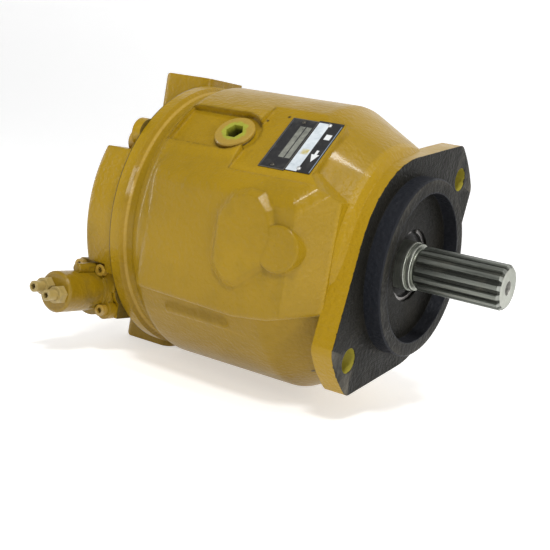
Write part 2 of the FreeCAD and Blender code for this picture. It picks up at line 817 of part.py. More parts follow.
plate_parts = [
    cylinder("plate_base", "plate_base_r", "joint_x - plate_base_x", ("plate_base_x", "0", "0")),
    cylinder("plate_core", "core_r", "joint_x - plate_rear_x", ("plate_rear_x", "0", "0")),
]
wing_disc = cylinder("wing_disc", "wing_r", "joint_x - wing_x", ("wing_x", "0", "0"))
wing_box = box("wing_box", ("joint_x - wing_x", "2 * wing_r + 2", "wing_top_z - wing_low_z"),
               ("wing_x", "-1 * wing_r - 1", "wing_low_z"))
wings = common("wing_common", [wing_disc, wing_box])
wings = rounded("wing_round", wings, "4", lambda edge: all(abs(v.Point.x - d("wing_x")) < 0.1 for v in edge.Vertexes))
plate_parts.append(wings)
for side, name in ((1, "suction"), (-1, "pressure")):
    low_z = "0" if side > 0 else "-1 * pad_top_z"
    pad = box("port_pad_" + name, ("pad_front_x - plate_rear_x", "pad_far_y - pad_near_y", "pad_top_z"),
              ("plate_rear_x", "pad_near_y", low_z))

    def pad_edge(edge):
        a, b = edge.Vertexes[0].Point, edge.Vertexes[-1].Point
        upright = abs(a.z - b.z) > 10
        rear = a.x < d("plate_rear_x") + 0.1 and b.x < d("plate_rear_x") + 0.1
        return upright or (rear and abs(a.z) > 10 and abs(b.z) > 10)

    plate_parts.append(rounded("port_pad_round_" + name, pad, "pad_blend", pad_edge))
for i, angle in enumerate(LUG_ANGLES):
    y, z = about_x("lug_pitch_r", angle)
    web_y, web_z = about_x("lug_pitch_r - 14", angle)
    plate_parts.append(cylinder("plate_lug_%d" % (i + 1), "lug_r", "joint_x - plate_base_x", ("plate_base_x", y, z)))
    plate_parts.append(cylinder("plate_web_%d" % (i + 1), "lug_r + 2", "joint_x - plate_base_x",
                                ("plate_base_x", web_y, web_z)))
valve_pad = padded("valve_pad", [
    ("valve_pad_x0", "valve_base_z1"), ("valve_pad_x1", "valve_base_z1"), ("valve_pad_x1", "valve_base_z0"),
    ("valve_pad_x0 + valve_pad_corner", "valve_base_z0"), ("valve_pad_x0", "valve_base_z0 + valve_pad_corner"),
], "valve_pad_in_y - valve_pad_y", ("0", "valve_pad_in_y", "0"), None, "XZ_Plane")
plate_parts.append(rounded("valve_pad_round", valve_pad, "valve_pad_blend",
                           lambda edge: abs(edge.Vertexes[0].Point.y - edge.Vertexes[-1].Point.y) > 10
                           and edge.CenterOfMass.x < d("valve_pad_x1") - 5))
plate_outer = fuse("plate_outer", plate_parts)

plate_tools = [
    box("valve_seat", ("plate_base_x - 0.3 - valve_pad_x0 + 1", "40", "valve_base_z1 - side_low_z + 14"),
        ("valve_pad_x0 - 1", "valve_pad_y - 40", "side_low_z - 14 + 0.3")),
    cylinder("rear_bearing_bore", "rear_outer_r", "joint_x - rear_seat_x + 1", ("rear_seat_x", "0", "0")),
    cylinder("rear_bearing_pocket", "rear_pocket_r", "rear_seat_x - rear_pocket_x + 1", ("rear_pocket_x", "0", "0")),
    cut("gasket_groove",
        cylinder("gasket_out", "gasket_r + gasket_groove_w / 2", "gasket_groove_h + 1",
                 ("joint_x - gasket_groove_h", "0", "0")),
        [cylinder("gasket_in", "gasket_r - gasket_groove_w / 2", "gasket_groove_h + 3",
                  ("joint_x - gasket_groove_h - 1", "0", "0"))]),
]
for side, name, middle in ((1, "suction", 90), (-1, "pressure", 270)):
    direction = "Z" if side > 0 else "-Z"
    plate_tools.append(kidney("plate_kidney_" + name, "piston_pitch_r", "kidney_half_w", middle, "kidney_span",
                              "joint_x - kidney_depth", "kidney_depth + 1"))
    start = "%d * port_bore_end_z" % side
    plate_tools.append(cylinder("port_bore_" + name, name + "_bore_r", "pad_top_z - port_bore_end_z + 1",
                                ("port_x", "port_y", start), direction))
    start = "%d * (pad_top_z - port_thread_len)" % side
    plate_tools.append(cylinder("port_thread_" + name, name + "_thread_r", "port_thread_len + 1",
                                ("port_x", "port_y", start), direction))
    start = "%d * (pad_top_z - spot_depth)" % side
    plate_tools.append(cylinder("port_spot_" + name, name + "_spot_r", "spot_depth + 1",
                                ("port_x", "port_y", start), direction))
for i, angle in enumerate(LUG_ANGLES):
    y, z = about_x("screw_boss_pitch_r", angle)
    plate_tools.append(cylinder("screw_clear_%d" % (i + 1), "cap_clear_r", "joint_x - plate_base_x + 2",
                                ("plate_base_x - 1", y, z)))
    plate_tools.append(cylinder("screw_pocket_%d" % (i + 1), "screw_pocket_r", "plate_base_x - valve_base_x0 + 2",
                                ("valve_base_x0 - 2", y, z)))
VALVE_SCREWS = [("valve_screw_x0", "valve_screw_z1"), ("valve_screw_x1", "valve_screw_z1"),
                ("valve_lug_x", "valve_lug_z")]
for i, (x, z) in enumerate(VALVE_SCREWS):
    plate_tools.append(cylinder("valve_thread_%d" % (i + 1), "valve_screw_r", "valve_screw_reach + 2",
                                (x, "valve_pad_y - 1", z), "Y"))
plate_tools.append(cylinder("pressure_gallery", "gallery_r", "port_y - valve_pad_y", ("valve_x", "valve_pad_y - 1",
                                                                                  "gallery_z"), "Y"))
for sign, name in ((-1, "control"), (1, "bias")):
    plate_tools.append(cylinder("rod_socket_" + name, "rod_stub_r", "rod_stub_len + 1",
                                ("joint_x - rod_stub_len", "%d * guide_y" % sign, "0")))
node("port_plate", cut("port_plate_solid", plate_outer, plate_tools))

gasket = doc.addObject("Part::Torus", "gasket_ring")
bind(gasket, "Radius1", "gasket_r")
bind(gasket, "Radius2", "gasket_wire_r")
node("port_plate_seal", place(gasket, ("joint_x - gasket_wire_r - 0.05", "0", "0"), AXES["X"]))

screws = []
for i, angle in enumerate(LUG_ANGLES):
    y, z = about_x("screw_boss_pitch_r", angle)
    shank = cylinder("cap_shank_%d" % (i + 1), "cap_screw_r", "cap_length + 1", ("plate_base_x - 1", y, z))
    head = cylinder("cap_head_%d" % (i + 1), "cap_head_r", "cap_head_h", ("plate_base_x - cap_head_h", y, z))
    rear_x = d("plate_base_x") - d("cap_head_h")
    head = chamfered("cap_head_edge_%d" % (i + 1), head, "0.8",
                     lambda edge: isinstance(edge.Curve, Part.Circle) and abs(edge.Curve.Center.x - rear_x) < 0.01)
    socket = hexagon("cap_socket_%d" % (i + 1), "cap_socket", "cap_head_h / 2 + 1",
                     ("plate_base_x - cap_head_h - 1", y, z))
    screws.append(cut("cap_screw_%d" % (i + 1), fuse("cap_solid_%d" % (i + 1), [shank, head]), [socket]))
node("port_plate_screws", group("cap_screws", screws))

# ---------------------------------------------------------------- control valve
valve_block = box("valve_block", ("valve_base_x1 - valve_base_x0", "valve_pad_y - valve_base_y",
                                 "valve_base_z1 - valve_block_z0"),
                  ("valve_base_x0", "valve_base_y", "valve_block_z0"))
valve_block = rounded("valve_block_round", valve_block, "valve_blend",
                      lambda edge: abs(edge.Vertexes[0].Point.y - edge.Vertexes[-1].Point.y) > 5
                      and edge.CenterOfMass.z > d("valve_block_z0") + 5)
valve_round = cylinder("valve_round", "valve_round_r", "valve_pad_y - valve_base_y",
                       ("valve_x", "valve_pad_y", "valve_z"), "-Y")
valve_lug = cylinder("valve_lug", "valve_lug_r", "valve_pad_y - valve_base_y",
                     ("valve_lug_x", "valve_pad_y", "valve_lug_z"), "-Y")
barrel_part = cylinder("valve_cylinder", "valve_cyl_r", "valve_base_y - valve_cyl_y + 2",
                       ("valve_x", "valve_base_y + 2", "valve_z"), "-Y")
barrel_part = chamfered("valve_cylinder_edge", barrel_part, "1.6",
                        circle_at("y", d("valve_cyl_y"), d("valve_cyl_r")))
ring_part = cylinder("valve_ring", "valve_ring_r", "valve_base_y - valve_ring_y + 2",
                     ("valve_x", "valve_base_y + 2", "valve_z"), "-Y")
rib_part = cylinder("valve_rib", "rib_r", "valve_base_y - rib_end_y + 2", ("rib_x", "valve_base_y + 2", "rib_z"), "-Y")
rib_part = rounded("valve_rib_end", rib_part, "1.5", circle_at("y", d("rib_end_y"), d("rib_r")))
SPOOLS = {"flow": ("flow_x", "flow_z"), "pressure": ("pressure_x", "pressure_z")}
lug_y, lug_z = about_x("lug_pitch_r", 180 + d("lug_angle"))
valve_tools = [
    cylinder("valve_lug_relief", "lug_r + 0.3", "20", ("plate_base_x - 0.4", lug_y, lug_z)),
    cylinder("valve_disc_relief", "plate_base_r + 0.3", "20", ("plate_base_x - 0.4", "0", "0")),
    box("valve_wing_relief", ("20", "20", "10"), ("plate_base_x - 0.4", "valve_pad_y - 15", "wing_low_z - 0.3")),
]
for name, (x, z) in SPOOLS.items():
    valve_tools.append(cylinder(name + "_spool_bore", "spool_bore_r", "valve_pad_y - spring_bore_y + 2",
                                (x, "valve_pad_y + 1", z), "-Y"))
    valve_tools.append(cylinder(name + "_spring_bore", "spring_bore_r", "spring_bore_y - adjuster_inner_y",
                                (x, "spring_bore_y", z), "-Y"))
    valve_tools.append(cylinder(name + "_adjuster_bore", "adjuster_bore_r", "adjuster_inner_y - valve_cyl_y + 2",
                                (x, "adjuster_inner_y + 1", z), "-Y"))
    valve_tools.append(cylinder(name + "_plug_bore", "end_plug_r", "end_plug_h + 1",
                                (x, "valve_pad_y + 1", z), "-Y"))
for i, (x, z) in enumerate(VALVE_SCREWS):
    valve_tools.append(cylinder("valve_clear_%d" % (i + 1), "valve_screw_clear_r", "valve_pad_y - valve_base_y + 2",
                                (x, "valve_pad_y + 1", z), "-Y"))
    valve_tools.append(cylinder("valve_head_room_%d" % (i + 1), "valve_screw_head_r + 0.3", "12",
                                (x, "valve_base_y", z), "-Y"))
valve_tools.append(cylinder("valve_gallery", "gallery_r", "valve_pad_y - valve_base_y - 3",
                            ("valve_x", "valve_pad_y + 0.5", "gallery_z"), "-Y"))
valve_tools.append(cylinder("valve_seal_groove", "valve_seal_r + 1.2", "2.3",
                            ("valve_x", "valve_pad_y + 0.5", "gallery_z"), "-Y"))
valve_outer = fuse("valve_outer", [valve_block, valve_round, valve_lug, barrel_part, ring_part, rib_part])
node("valve_body", cut("valve_body_solid", valve_outer, valve_tools))

valve_ring = doc.addObject("Part::Torus", "valve_seal_ring")
bind(valve_ring, "Radius1", "valve_seal_r")
bind(valve_ring, "Radius2", "valve_seal_wire_r")
node("valve_seals", place(valve_ring, ("valve_x", "valve_pad_y - valve_seal_wire_r", "gallery_z"), AXES["Y"]))

valve_screw_parts = []
for i, (x, z) in enumerate(VALVE_SCREWS):
    shank = cylinder("valve_shank_%d" % (i + 1), "valve_screw_r", "valve_pad_y - valve_base_y + valve_screw_reach",
                     (x, "valve_base_y", z), "Y")
    head = cylinder("valve_head_%d" % (i + 1), "valve_screw_head_r", "valve_screw_head_h",
                    (x, "valve_base_y", z), "-Y")
    socket = hexagon("valve_socket_%d" % (i + 1), "4", "3.5",
                     (x, "valve_base_y - valve_screw_head_h - 0.5", z), "Y")
    valve_screw_parts.append(cut("valve_screw_%d" % (i + 1), fuse("valve_screw_solid_%d" % (i + 1), [shank, head]),
                                 [socket]))
node("valve_screws", group("valve_screw_group", valve_screw_parts))


def coil(label, coil_r, wire_r, turns, length, at, axis):
    """Round-wire compression spring, solid wire, centre line between the end planes."""
    helix = doc.addObject("Part::Helix", label + "_line")
    bind(helix, "Pitch", "(%s - 2 * %s) / %s" % (length, wire_r, turns))
    bind(helix, "Height", "%s - 2 * %s" % (length, wire_r))
    bind(helix, "Radius", coil_r)
    helix.SegmentLength = 0.5
    helix.Placement = Placement()
    wire = doc.addObject("Part::Circle", label + "_wire")
    bind(wire, "Radius", wire_r)
    wire.Placement = Placement(Vector(number(coil_r), 0, 0), Rotation(Vector(1, 0, 0), 90))
    bind(wire, "Placement.Base.x", coil_r)
    doc.recompute()
    sweep = doc.addObject("Part::Sweep", label + "_sweep")
    sweep.Sections = [wire]
    sweep.Spine = (helix, ["Edge%d" % (i + 1) for i in range(len(helix.Shape.Edges))])
    sweep.Solid = True
    sweep.Frenet = True
    spring = group(label + "_spring", [sweep])
    return place(spring, at, AXES[axis])


nuts = []
end_plugs = []
for name, (x, z) in SPOOLS.items():
    spool_turn = Rotation(Vector(0, 0, 1), -90)
    spool_profile = [
        ("0", "0"), ("0", "spool_r"), ("spool_land", "spool_r"), ("spool_land", "spool_waist_r"),
        ("spool_rear_y - spool_front_y - spool_land", "spool_waist_r"),
        ("spool_rear_y - spool_front_y - spool_land", "spool_r"),
        ("spool_rear_y - spool_front_y", "spool_r"), ("spool_rear_y - spool_front_y", "0"),
    ]
    spool = turned(name + "_spool_body", spool_profile, (x, "spool_rear_y", z), spool_turn)
    node(name + "_spool", spool)
    node(name + "_spring", coil(name, "valve_spring_r", "valve_wire_r", "valve_turns",
                                "valve_spring_rear_y - valve_spring_front_y",
                                (x, "valve_spring_rear_y - valve_wire_r", z), "-Y"))
    stem = cylinder(name + "_stem", "adjuster_r", "adjuster_inner_y - 1 - adjuster_tip_y",
                    (x, "adjuster_inner_y - 1", z), "-Y")
    stem = chamfered(name + "_stem_edge", stem, "0.6", circle_at("y", d("adjuster_tip_y"), d("adjuster_r")))
    socket = hexagon(name + "_stem_socket", "adjuster_socket", "5",
                     (x, "adjuster_tip_y - 1", z), "Y")
    node(name + "_adjuster", cut(name + "_adjuster_solid", stem, [socket]))
    nut_turn = AXES["-Y"].multiply(Rotation(Vector(0, 0, 1), d("nut_turn")))
    nut = hexagon(name + "_nut", "lock_nut_flats", "lock_nut_h", (x, "valve_cyl_y", z), "-Y", nut_turn)
    nut_round = cone(name + "_nut_round", "lock_nut_flats * 0.62", "lock_nut_flats * 0.5", "lock_nut_h",
                     (x, "valve_cyl_y", z), "-Y")
    nut_body = common(name + "_nut_common", [nut, nut_round])
    nuts.append(cut(name + "_nut_solid", nut_body, [cylinder(name + "_nut_bore", "adjuster_bore_r", "lock_nut_h + 2",
                                                            (x, "valve_cyl_y + 1", z), "-Y")]))
    end_plugs.append(cylinder(name + "_end_plug", "end_plug_r", "end_plug_h",
                              (x, "valve_pad_y", z), "-Y"))
node("adjuster_lock_nuts", group("lock_nuts", nuts))
node("spool_end_plugs", group("end_plugs", end_plugs))

# ---------------------------------------------------------------- plugs, plates, rivets
def radial(label, maker, sizes, x, distance, degrees):
    """Primitive standing on a line square to the shaft at the given angle."""
    y, z = about_x(distance, degrees)
    turn = Rotation(Vector(1, 0, 0), degrees - 90.0)
    obj = doc.addObject(maker, label)
    for prop, text in sizes.items():
        bind(obj, prop, text)
    return place(obj, (x, y, z), turn)


plugs = []
plug_seals = []
for name, degrees in PLUG_DIRECTIONS.items():
    collar = radial("plug_collar_" + name, "Part::Cylinder", {"Radius": "plug_collar_r", "Height": "plug_collar_h"},
                    "plug_x", "plug_spot + plug_seal_h", degrees)
    top = d("plug_spot") + d("plug_seal_h") + d("plug_collar_h")
    rise = Vector(0, math.cos(math.radians(degrees)), math.sin(math.radians(degrees)))
    collar = chamfered("plug_collar_edge_" + name, collar, "0.8",
                       lambda edge: isinstance(edge.Curve, Part.Circle) and edge.Curve.Center.dot(rise) > top - 0.01)
    thread = radial("plug_thread_" + name, "Part::Cylinder",
                    {"Radius": "plug_thread_r", "Height": "plug_thread_len + plug_seal_h + 1"},
                    "plug_x", "plug_spot - plug_thread_len", degrees)
    socket = radial("plug_socket_" + name, "Part::Prism",
                    {"Circumradius": "plug_hex / 2 / cos(30deg)", "Height": "12"},
                    "plug_x", "plug_spot + plug_seal_h + plug_collar_h - 9", degrees)
    socket.Polygon = 6
    plugs.append(cut("plug_" + name, fuse("plug_solid_" + name, [collar, thread]), [socket]))
    washer = radial("plug_washer_" + name, "Part::Cylinder", {"Radius": "plug_collar_r - 0.6",
                                                              "Height": "plug_seal_h"}, "plug_x", "plug_spot", degrees)
    hole = radial("plug_washer_hole_" + name, "Part::Cylinder", {"Radius": "plug_thread_r",
                                                                 "Height": "plug_seal_h + 2"},
                  "plug_x", "plug_spot - 1", degrees)
    plug_seals.append(cut("plug_seal_" + name, washer, [hole]))
node("drain_plugs", group("plug_group", plugs))
node("drain_plug_seals", group("plug_seal_group", plug_seals))

PLATE_ANGLE = 135.0
rivets = []
for name, x, width, height, shift in (("name_plate", "label_x", "label_w", "label_h", 0.5),
                                      ("direction_plate", "second_x", "second_w", "second_h", -0.5)):
    base_y, base_z = about_x("plug_flat", PLATE_ANGLE)
    away_y, away_z = about_x("%s / 2 + %s" % (height, shift), PLATE_ANGLE - 90.0)
    plate = box(name + "_sheet", (width, height, "label_thick"),
                (x, base_y + " + " + "(-1) * (" + away_y + ")", base_z + " + " + "(-1) * (" + away_z + ")"),
                Rotation(Vector(1, 0, 0), PLATE_ANGLE - 90.0))
    holes = []
    for end, sign in (("upper", 1), ("lower", -1)):
        y, z = about_x("%d * (%s / 2 - 3.2) - %s" % (sign, height, shift), PLATE_ANGLE - 90.0)
        foot_y, foot_z = about_x("plug_flat - 4", PLATE_ANGLE)
        centre = "%s + %s / 2" % (x, width)
        turn = Rotation(Vector(1, 0, 0), PLATE_ANGLE - 90.0)
        hole = doc.addObject("Part::Cylinder", "%s_hole_%s" % (name, end))
        shank = doc.addObject("Part::Cylinder", "%s_shank_%s" % (name, end))
        head = doc.addObject("Part::Cone", "%s_head_%s" % (name, end))
        for obj, height_text in ((hole, "6"), (shank, "4 + label_thick")):
            bind(obj, "Radius", "rivet_r / 2")
            bind(obj, "Height", height_text)
            place(obj, (centre, foot_y + " + " + y, foot_z + " + " + z), turn)
        head_y, head_z = about_x("plug_flat + label_thick", PLATE_ANGLE)
        bind(head, "Radius1", "rivet_r")
        bind(head, "Radius2", "rivet_r * 0.55")
        bind(head, "Height", "rivet_h")
        place(head, (centre, head_y + " + " + y, head_z + " + " + z), turn)
        holes.append(hole)
        rivets.append(fuse("%s_rivet_%s" % (name, end), [shank, head]))
    node(name, cut(name + "_solid", plate, holes))
    housing_tools += holes
node("plate_rivets", group("rivet_group", rivets))
node("pump_housing", cut("pump_housing_solid", outer, housing_tools))

# ---------------------------------------------------------------- shaft seal and bearings
seal_profile = [
    ("seal_rear_x", "seal_bore_r"), ("seal_rear_x", "seal_inner_r + 4"), ("seal_rear_x + 2", "seal_inner_r"),
    ("seal_rear_x + 4", "seal_inner_r"), ("seal_front_x - 1", "seal_inner_r + 4"),
    ("seal_front_x - 1", "seal_bore_r - 2"), ("seal_front_x", "seal_bore_r - 1.5"), ("seal_front_x", "seal_bore_r"),
]
node("shaft_seal", turned("shaft_seal_ring", seal_profile))
snap_profile = ring_points("seal_bore_r - 2.5", "snap_groove_r", "snap_groove_x + 0.05",
                           "snap_groove_x + snap_groove_w - 0.05")
snap_turn = turned("snap_turn", snap_profile)
snap_gap = box("snap_gap", ("4", "9", "8"), ("snap_groove_x - 1", "-4.5", "seal_bore_r - 5"))
node("seal_snap_ring", cut("snap_ring_solid", snap_turn, [snap_gap]))


def cone_radius(end, x, angle, gap):
    """Radius at x of a raceway cone whose apex is shared by the whole bearing."""
    sign = "" if end == "front" else "-1 * "
    reach = "%s((%s_mid_x) - (%s))" % (sign, end, x)
    return "(%s + %s_mean_r / tan(taper * 1deg)) * tan((%s) * 1deg) %s" % (reach, end, angle, gap)


BEARINGS = {
    "front": {"side": 1, "count": "front_rollers", "outer": "front_outer_r", "bore": "front_bore_r",
              "cup": ("bearing_seat_x - front_cup_w", "bearing_seat_x"),
              "cone": ("shaft_shoulder_x", "shaft_shoulder_x + front_cone_w")},
    "rear": {"side": -1, "count": "rear_rollers", "outer": "rear_outer_r", "bore": "rear_bore_r",
             "cup": ("rear_seat_x", "rear_seat_x + rear_cup_w"),
             "cone": ("shaft_tail_shoulder_x - rear_cone_w", "shaft_tail_shoulder_x")},
}
for end, data in BEARINGS.items():
    side = data["side"]
    cup_a, cup_b = data["cup"]
    cone_a, cone_b = data["cone"]
    cup_profile = [
        (cup_a, cone_radius(end, cup_a, "taper + roller_half", "+ roller_gap")),
        (cup_b, cone_radius(end, cup_b, "taper + roller_half", "+ roller_gap")), (cup_b, data["outer"]),
        (cup_a, data["outer"]),
    ]
    node(end + "_bearing_outer", turned(end + "_cup", cup_profile))
    apex = "%s_mean_r / sin(taper * 1deg)" % end
    small_x = "%s_mid_x + %d * (%s_roller_len / 2 + 0.3) * cos(taper * 1deg)" % (end, side, end)
    large_r = "(%s + %s_roller_len / 2) * tan(roller_half * 1deg)" % (apex, end)
    large_x = "%s_mid_x - %d * ((%s_roller_len / 2 + 0.12) * cos(taper * 1deg) + %s * sin(taper * 1deg))" % (
        end, side, end, large_r)
    small_end, large_end = (cone_b, cone_a) if side > 0 else (cone_a, cone_b)
    race = [
        (large_end, data["bore"]),
        (large_end, cone_radius(end, large_x, "taper - roller_half", "+ 2")),
        (large_x, cone_radius(end, large_x, "taper - roller_half", "+ 2")),
        (large_x, cone_radius(end, large_x, "taper - roller_half", "- roller_gap")),
        (small_x, cone_radius(end, small_x, "taper - roller_half", "- roller_gap")),
        (small_x, cone_radius(end, small_x, "taper - roller_half", "+ 0.8")),
        (small_end, cone_radius(end, small_x, "taper - roller_half", "+ 0.8")),
        (small_end, data["bore"]),
    ]
    node(end + "_bearing_inner", turned(end + "_race", race))
    rollers = []
    pockets = []
    for i, angle in enumerate(step_angles(d(data["count"]))):
        # a cone standing on its large end, leaning in towards the apex
        lean = Rotation(Vector(1, 0, 0), angle).multiply(Rotation(Vector(0, 0, 1), -side * d("taper")))
        turn = lean.multiply(AXES["X" if side > 0 else "-X"])
        for label, grow, store in (("roller", "0", rollers), ("pocket", "0.15", pockets)):
            obj = doc.addObject("Part::Cone", "%s_%s_%d" % (end, label, i + 1))
            reach = "(%s_roller_len / 2 + %s)" % (end, grow)
            bind(obj, "Radius1", "(%s + %s) * tan(roller_half * 1deg) + %s" % (apex, reach, grow))
            bind(obj, "Radius2", "(%s - %s) * tan(roller_half * 1deg) + %s" % (apex, reach, grow))
            bind(obj, "Height", "2 * " + reach)
            y, z = about_x("%s_mean_r + %s * sin(taper * 1deg)" % (end, reach), angle)
            place(obj, ("%s_mid_x - %d * %s * cos(taper * 1deg)" % (end, side, reach), y, z), turn)
            store.append(obj)
    cage_half = "(%s_roller_len / 2 + 1.2) * cos(taper * 1deg)" % end
    cage_a = "%s_mid_x - %s" % (end, cage_half)
    cage_b = "%s_mid_x + %s" % (end, cage_half)
    cage_profile = [
        (cage_a, cone_radius(end, cage_a, "taper", "- cage_half + 0.9")),
        (cage_b, cone_radius(end, cage_b, "taper", "- cage_half + 0.9")),
        (cage_b, cone_radius(end, cage_b, "taper", "+ cage_half + 0.9")),
        (cage_a, cone_radius(end, cage_a, "taper", "+ cage_half + 0.9")),
    ]
    cage = cut(end + "_cage", turned(end + "_cage_ring", cage_profile), [group(end + "_pockets", pockets)])
    node(end + "_bearing_rollers", group(end + "_roller_set", rollers + [cage]))


# ---------------------------------------------------------------- drive shaft
def pocket_pattern(body, label, start_x, points, length, count, phase=0.0):
    """Straight gap cut along +X from start_x, repeated around the axis."""
    sketch = body.newObject("Sketcher::SketchObject", label + "_sketch")
    sketch.AttachmentSupport = [(origin_plane(body, "YZ_Plane"), "")]
    sketch.MapMode = "FlatFace"
    sketch.AttachmentOffset = Placement(Vector(0, 0, 0), Rotation(Vector(0, 0, 1), phase))
    bind(sketch, "AttachmentOffset.Base.z", start_x)
    outline(sketch, points)
    pocket = body.newObject("PartDesign::Pocket", label)
    pocket.Profile = sketch
    bind(pocket, "Length", length)
    before = body.Tip
    pocket.Reversed = True
    doc.recompute()
    sketch.Visibility = False
    pattern = body.newObject("PartDesign::PolarPattern", label + "_pattern")
    pattern.Originals = [pocket]
    for feature in body.Origin.OriginFeatures:
        if feature.Role == "X_Axis":
            pattern.Axis = (feature, [""])
    pattern.Angle = 360
    pattern.Occurrences = int(count)
    body.Tip = pattern
    doc.recompute()
    return before


def gap_points(root_r, top_r, root_half, top_half):
    return [("-1 * (%s)" % root_half, root_r), (root_half, root_r), (top_half, top_r),
            ("-1 * (%s)" % top_half, top_r)]


shaft_profile = [
    ("shaft_tail_x", "0"), ("shaft_tail_x", "shaft_tail_r - 1"), ("shaft_tail_x + 1", "shaft_tail_r"),
    ("shaft_tail_shoulder_x", "shaft_tail_r"), ("shaft_tail_shoulder_x", "shaft_neck_r"),
    ("shaft_rear_neck_x - 2", "shaft_neck_r"), ("shaft_rear_neck_x", "spline_r"),
    ("shaft_waist_x", "spline_r"), ("shaft_waist_x", "shaft_waist_r"),
    ("shaft_shoulder_x - shaft_shoulder_w", "shaft_waist_r"),
    ("shaft_shoulder_x - shaft_shoulder_w", "shaft_shoulder_r"), ("shaft_shoulder_x", "shaft_shoulder_r"),
    ("shaft_shoulder_x", "land_r"), ("land_x - 0.4", "land_r"), ("land_x", "land_r - 0.4"),
    ("land_x", "groove_floor_r"), ("groove_x", "groove_floor_r"), ("groove_x", "collar_r"),
    ("collar_x - 0.4", "collar_r"), ("collar_x", "collar_r - 0.4"), ("collar_x", "drive_minor_r - 0.2"),
    ("drive_start_x", "drive_minor_r - 0.2"), ("drive_start_x + drive_chamfer", "drive_major_r"),
    ("shaft_end_x - drive_chamfer", "drive_major_r"), ("shaft_end_x", "drive_major_r - drive_chamfer"),
    ("shaft_end_x", "centre_hole_r"), ("shaft_end_x - centre_hole_depth", "centre_hole_r * 0.5"),
    ("shaft_end_x - centre_hole_depth", "0"),
]
shaft = turned("shaft_turned", shaft_profile)
pocket_pattern(shaft, "drive_gap", "drive_start_x - 1", gap_points("drive_minor_r", "drive_major_r + 1", "1.15", "2.6"),
               "shaft_end_x - drive_start_x + 3", d("drive_teeth"))
pocket_pattern(shaft, "barrel_gap", "shaft_rear_neck_x - 3",
               gap_points("spline_root_r", "spline_r + 1", "1.35", "2.75"),
               "barrel_pocket_front_x + 4 - shaft_rear_neck_x + 3", d("spline_teeth"))
node("drive_shaft", shaft)

# ---------------------------------------------------------------- rotating group
PISTON_ANGLES = step_angles(d("piston_count"))
barrel_profile = [
    ("barrel_rear_x", "barrel_bore_r + 1"), ("barrel_rear_x + 1", "barrel_bore_r"),
    ("barrel_pocket_rear_x", "barrel_bore_r"), ("barrel_pocket_rear_x", "barrel_pocket_r"),
    ("barrel_pocket_front_x", "barrel_pocket_r"), ("barrel_pocket_front_x", "spline_r + 0.2"),
    ("barrel_front_x", "spline_r + 0.2"), ("barrel_front_x", "barrel_r - 1.5"),
    ("barrel_front_x - 1.5", "barrel_r"), ("barrel_rear_x + 6", "barrel_r"), ("barrel_rear_x + 6", "barrel_r - 4"),
    ("barrel_rear_x", "barrel_r - 4"),
]
barrel_body = turned("barrel_turned", barrel_profile)
pocket_pattern(barrel_body, "barrel_key", "barrel_rear_x - 1",
               gap_points("spline_root_r - 1", "spline_r + 0.15", "2.3", "1.52"),
               "barrel_pocket_rear_x - barrel_rear_x + 2", d("spline_teeth"), 180.0 / d("spline_teeth"))
barrel_tools = []
for i, angle in enumerate(PISTON_ANGLES):
    y, z = about_x("piston_pitch_r", angle)
    barrel_tools.append(cylinder("piston_bore_%d" % (i + 1), "piston_bore_r", "barrel_front_x - barrel_bottom_x + 1",
                                 ("barrel_bottom_x", y, z)))
    barrel_tools.append(kidney("barrel_kidney_%d" % (i + 1), "piston_pitch_r", "kidney_half_w * 0.85", angle, "8",
                               "barrel_rear_x - 1", "barrel_bottom_x - barrel_rear_x + 2"))
PIN_ANGLES = step_angles(3, 30.0)
for i, angle in enumerate(PIN_ANGLES):
    y, z = about_x("pin_pitch_r", angle)
    barrel_tools.append(cylinder("pin_hole_%d" % (i + 1), "pin_r + 0.1",
                                 "barrel_front_x - barrel_pocket_front_x + 2", ("barrel_pocket_front_x - 1", y, z)))
node("cylinder_barrel", cut("barrel_solid", barrel_body, barrel_tools))

control_disc = turned("valve_disc", ring_points("valve_plate_bore_r", "valve_plate_r", "joint_x", "valve_plate_x"))
control_tools = [kidney("disc_kidney_suction", "piston_pitch_r", "kidney_half_w", 90, "kidney_span",
                        "joint_x - 1", "valve_plate_x - joint_x + 2")]
for i, middle in enumerate((270 - 42, 270, 270 + 42)):
    control_tools.append(kidney("disc_kidney_pressure_%d" % (i + 1), "piston_pitch_r", "kidney_half_w", middle, "14",
                                "joint_x - 1", "valve_plate_x - joint_x + 2"))
node("valve_plate", cut("valve_plate_solid", control_disc, control_tools))

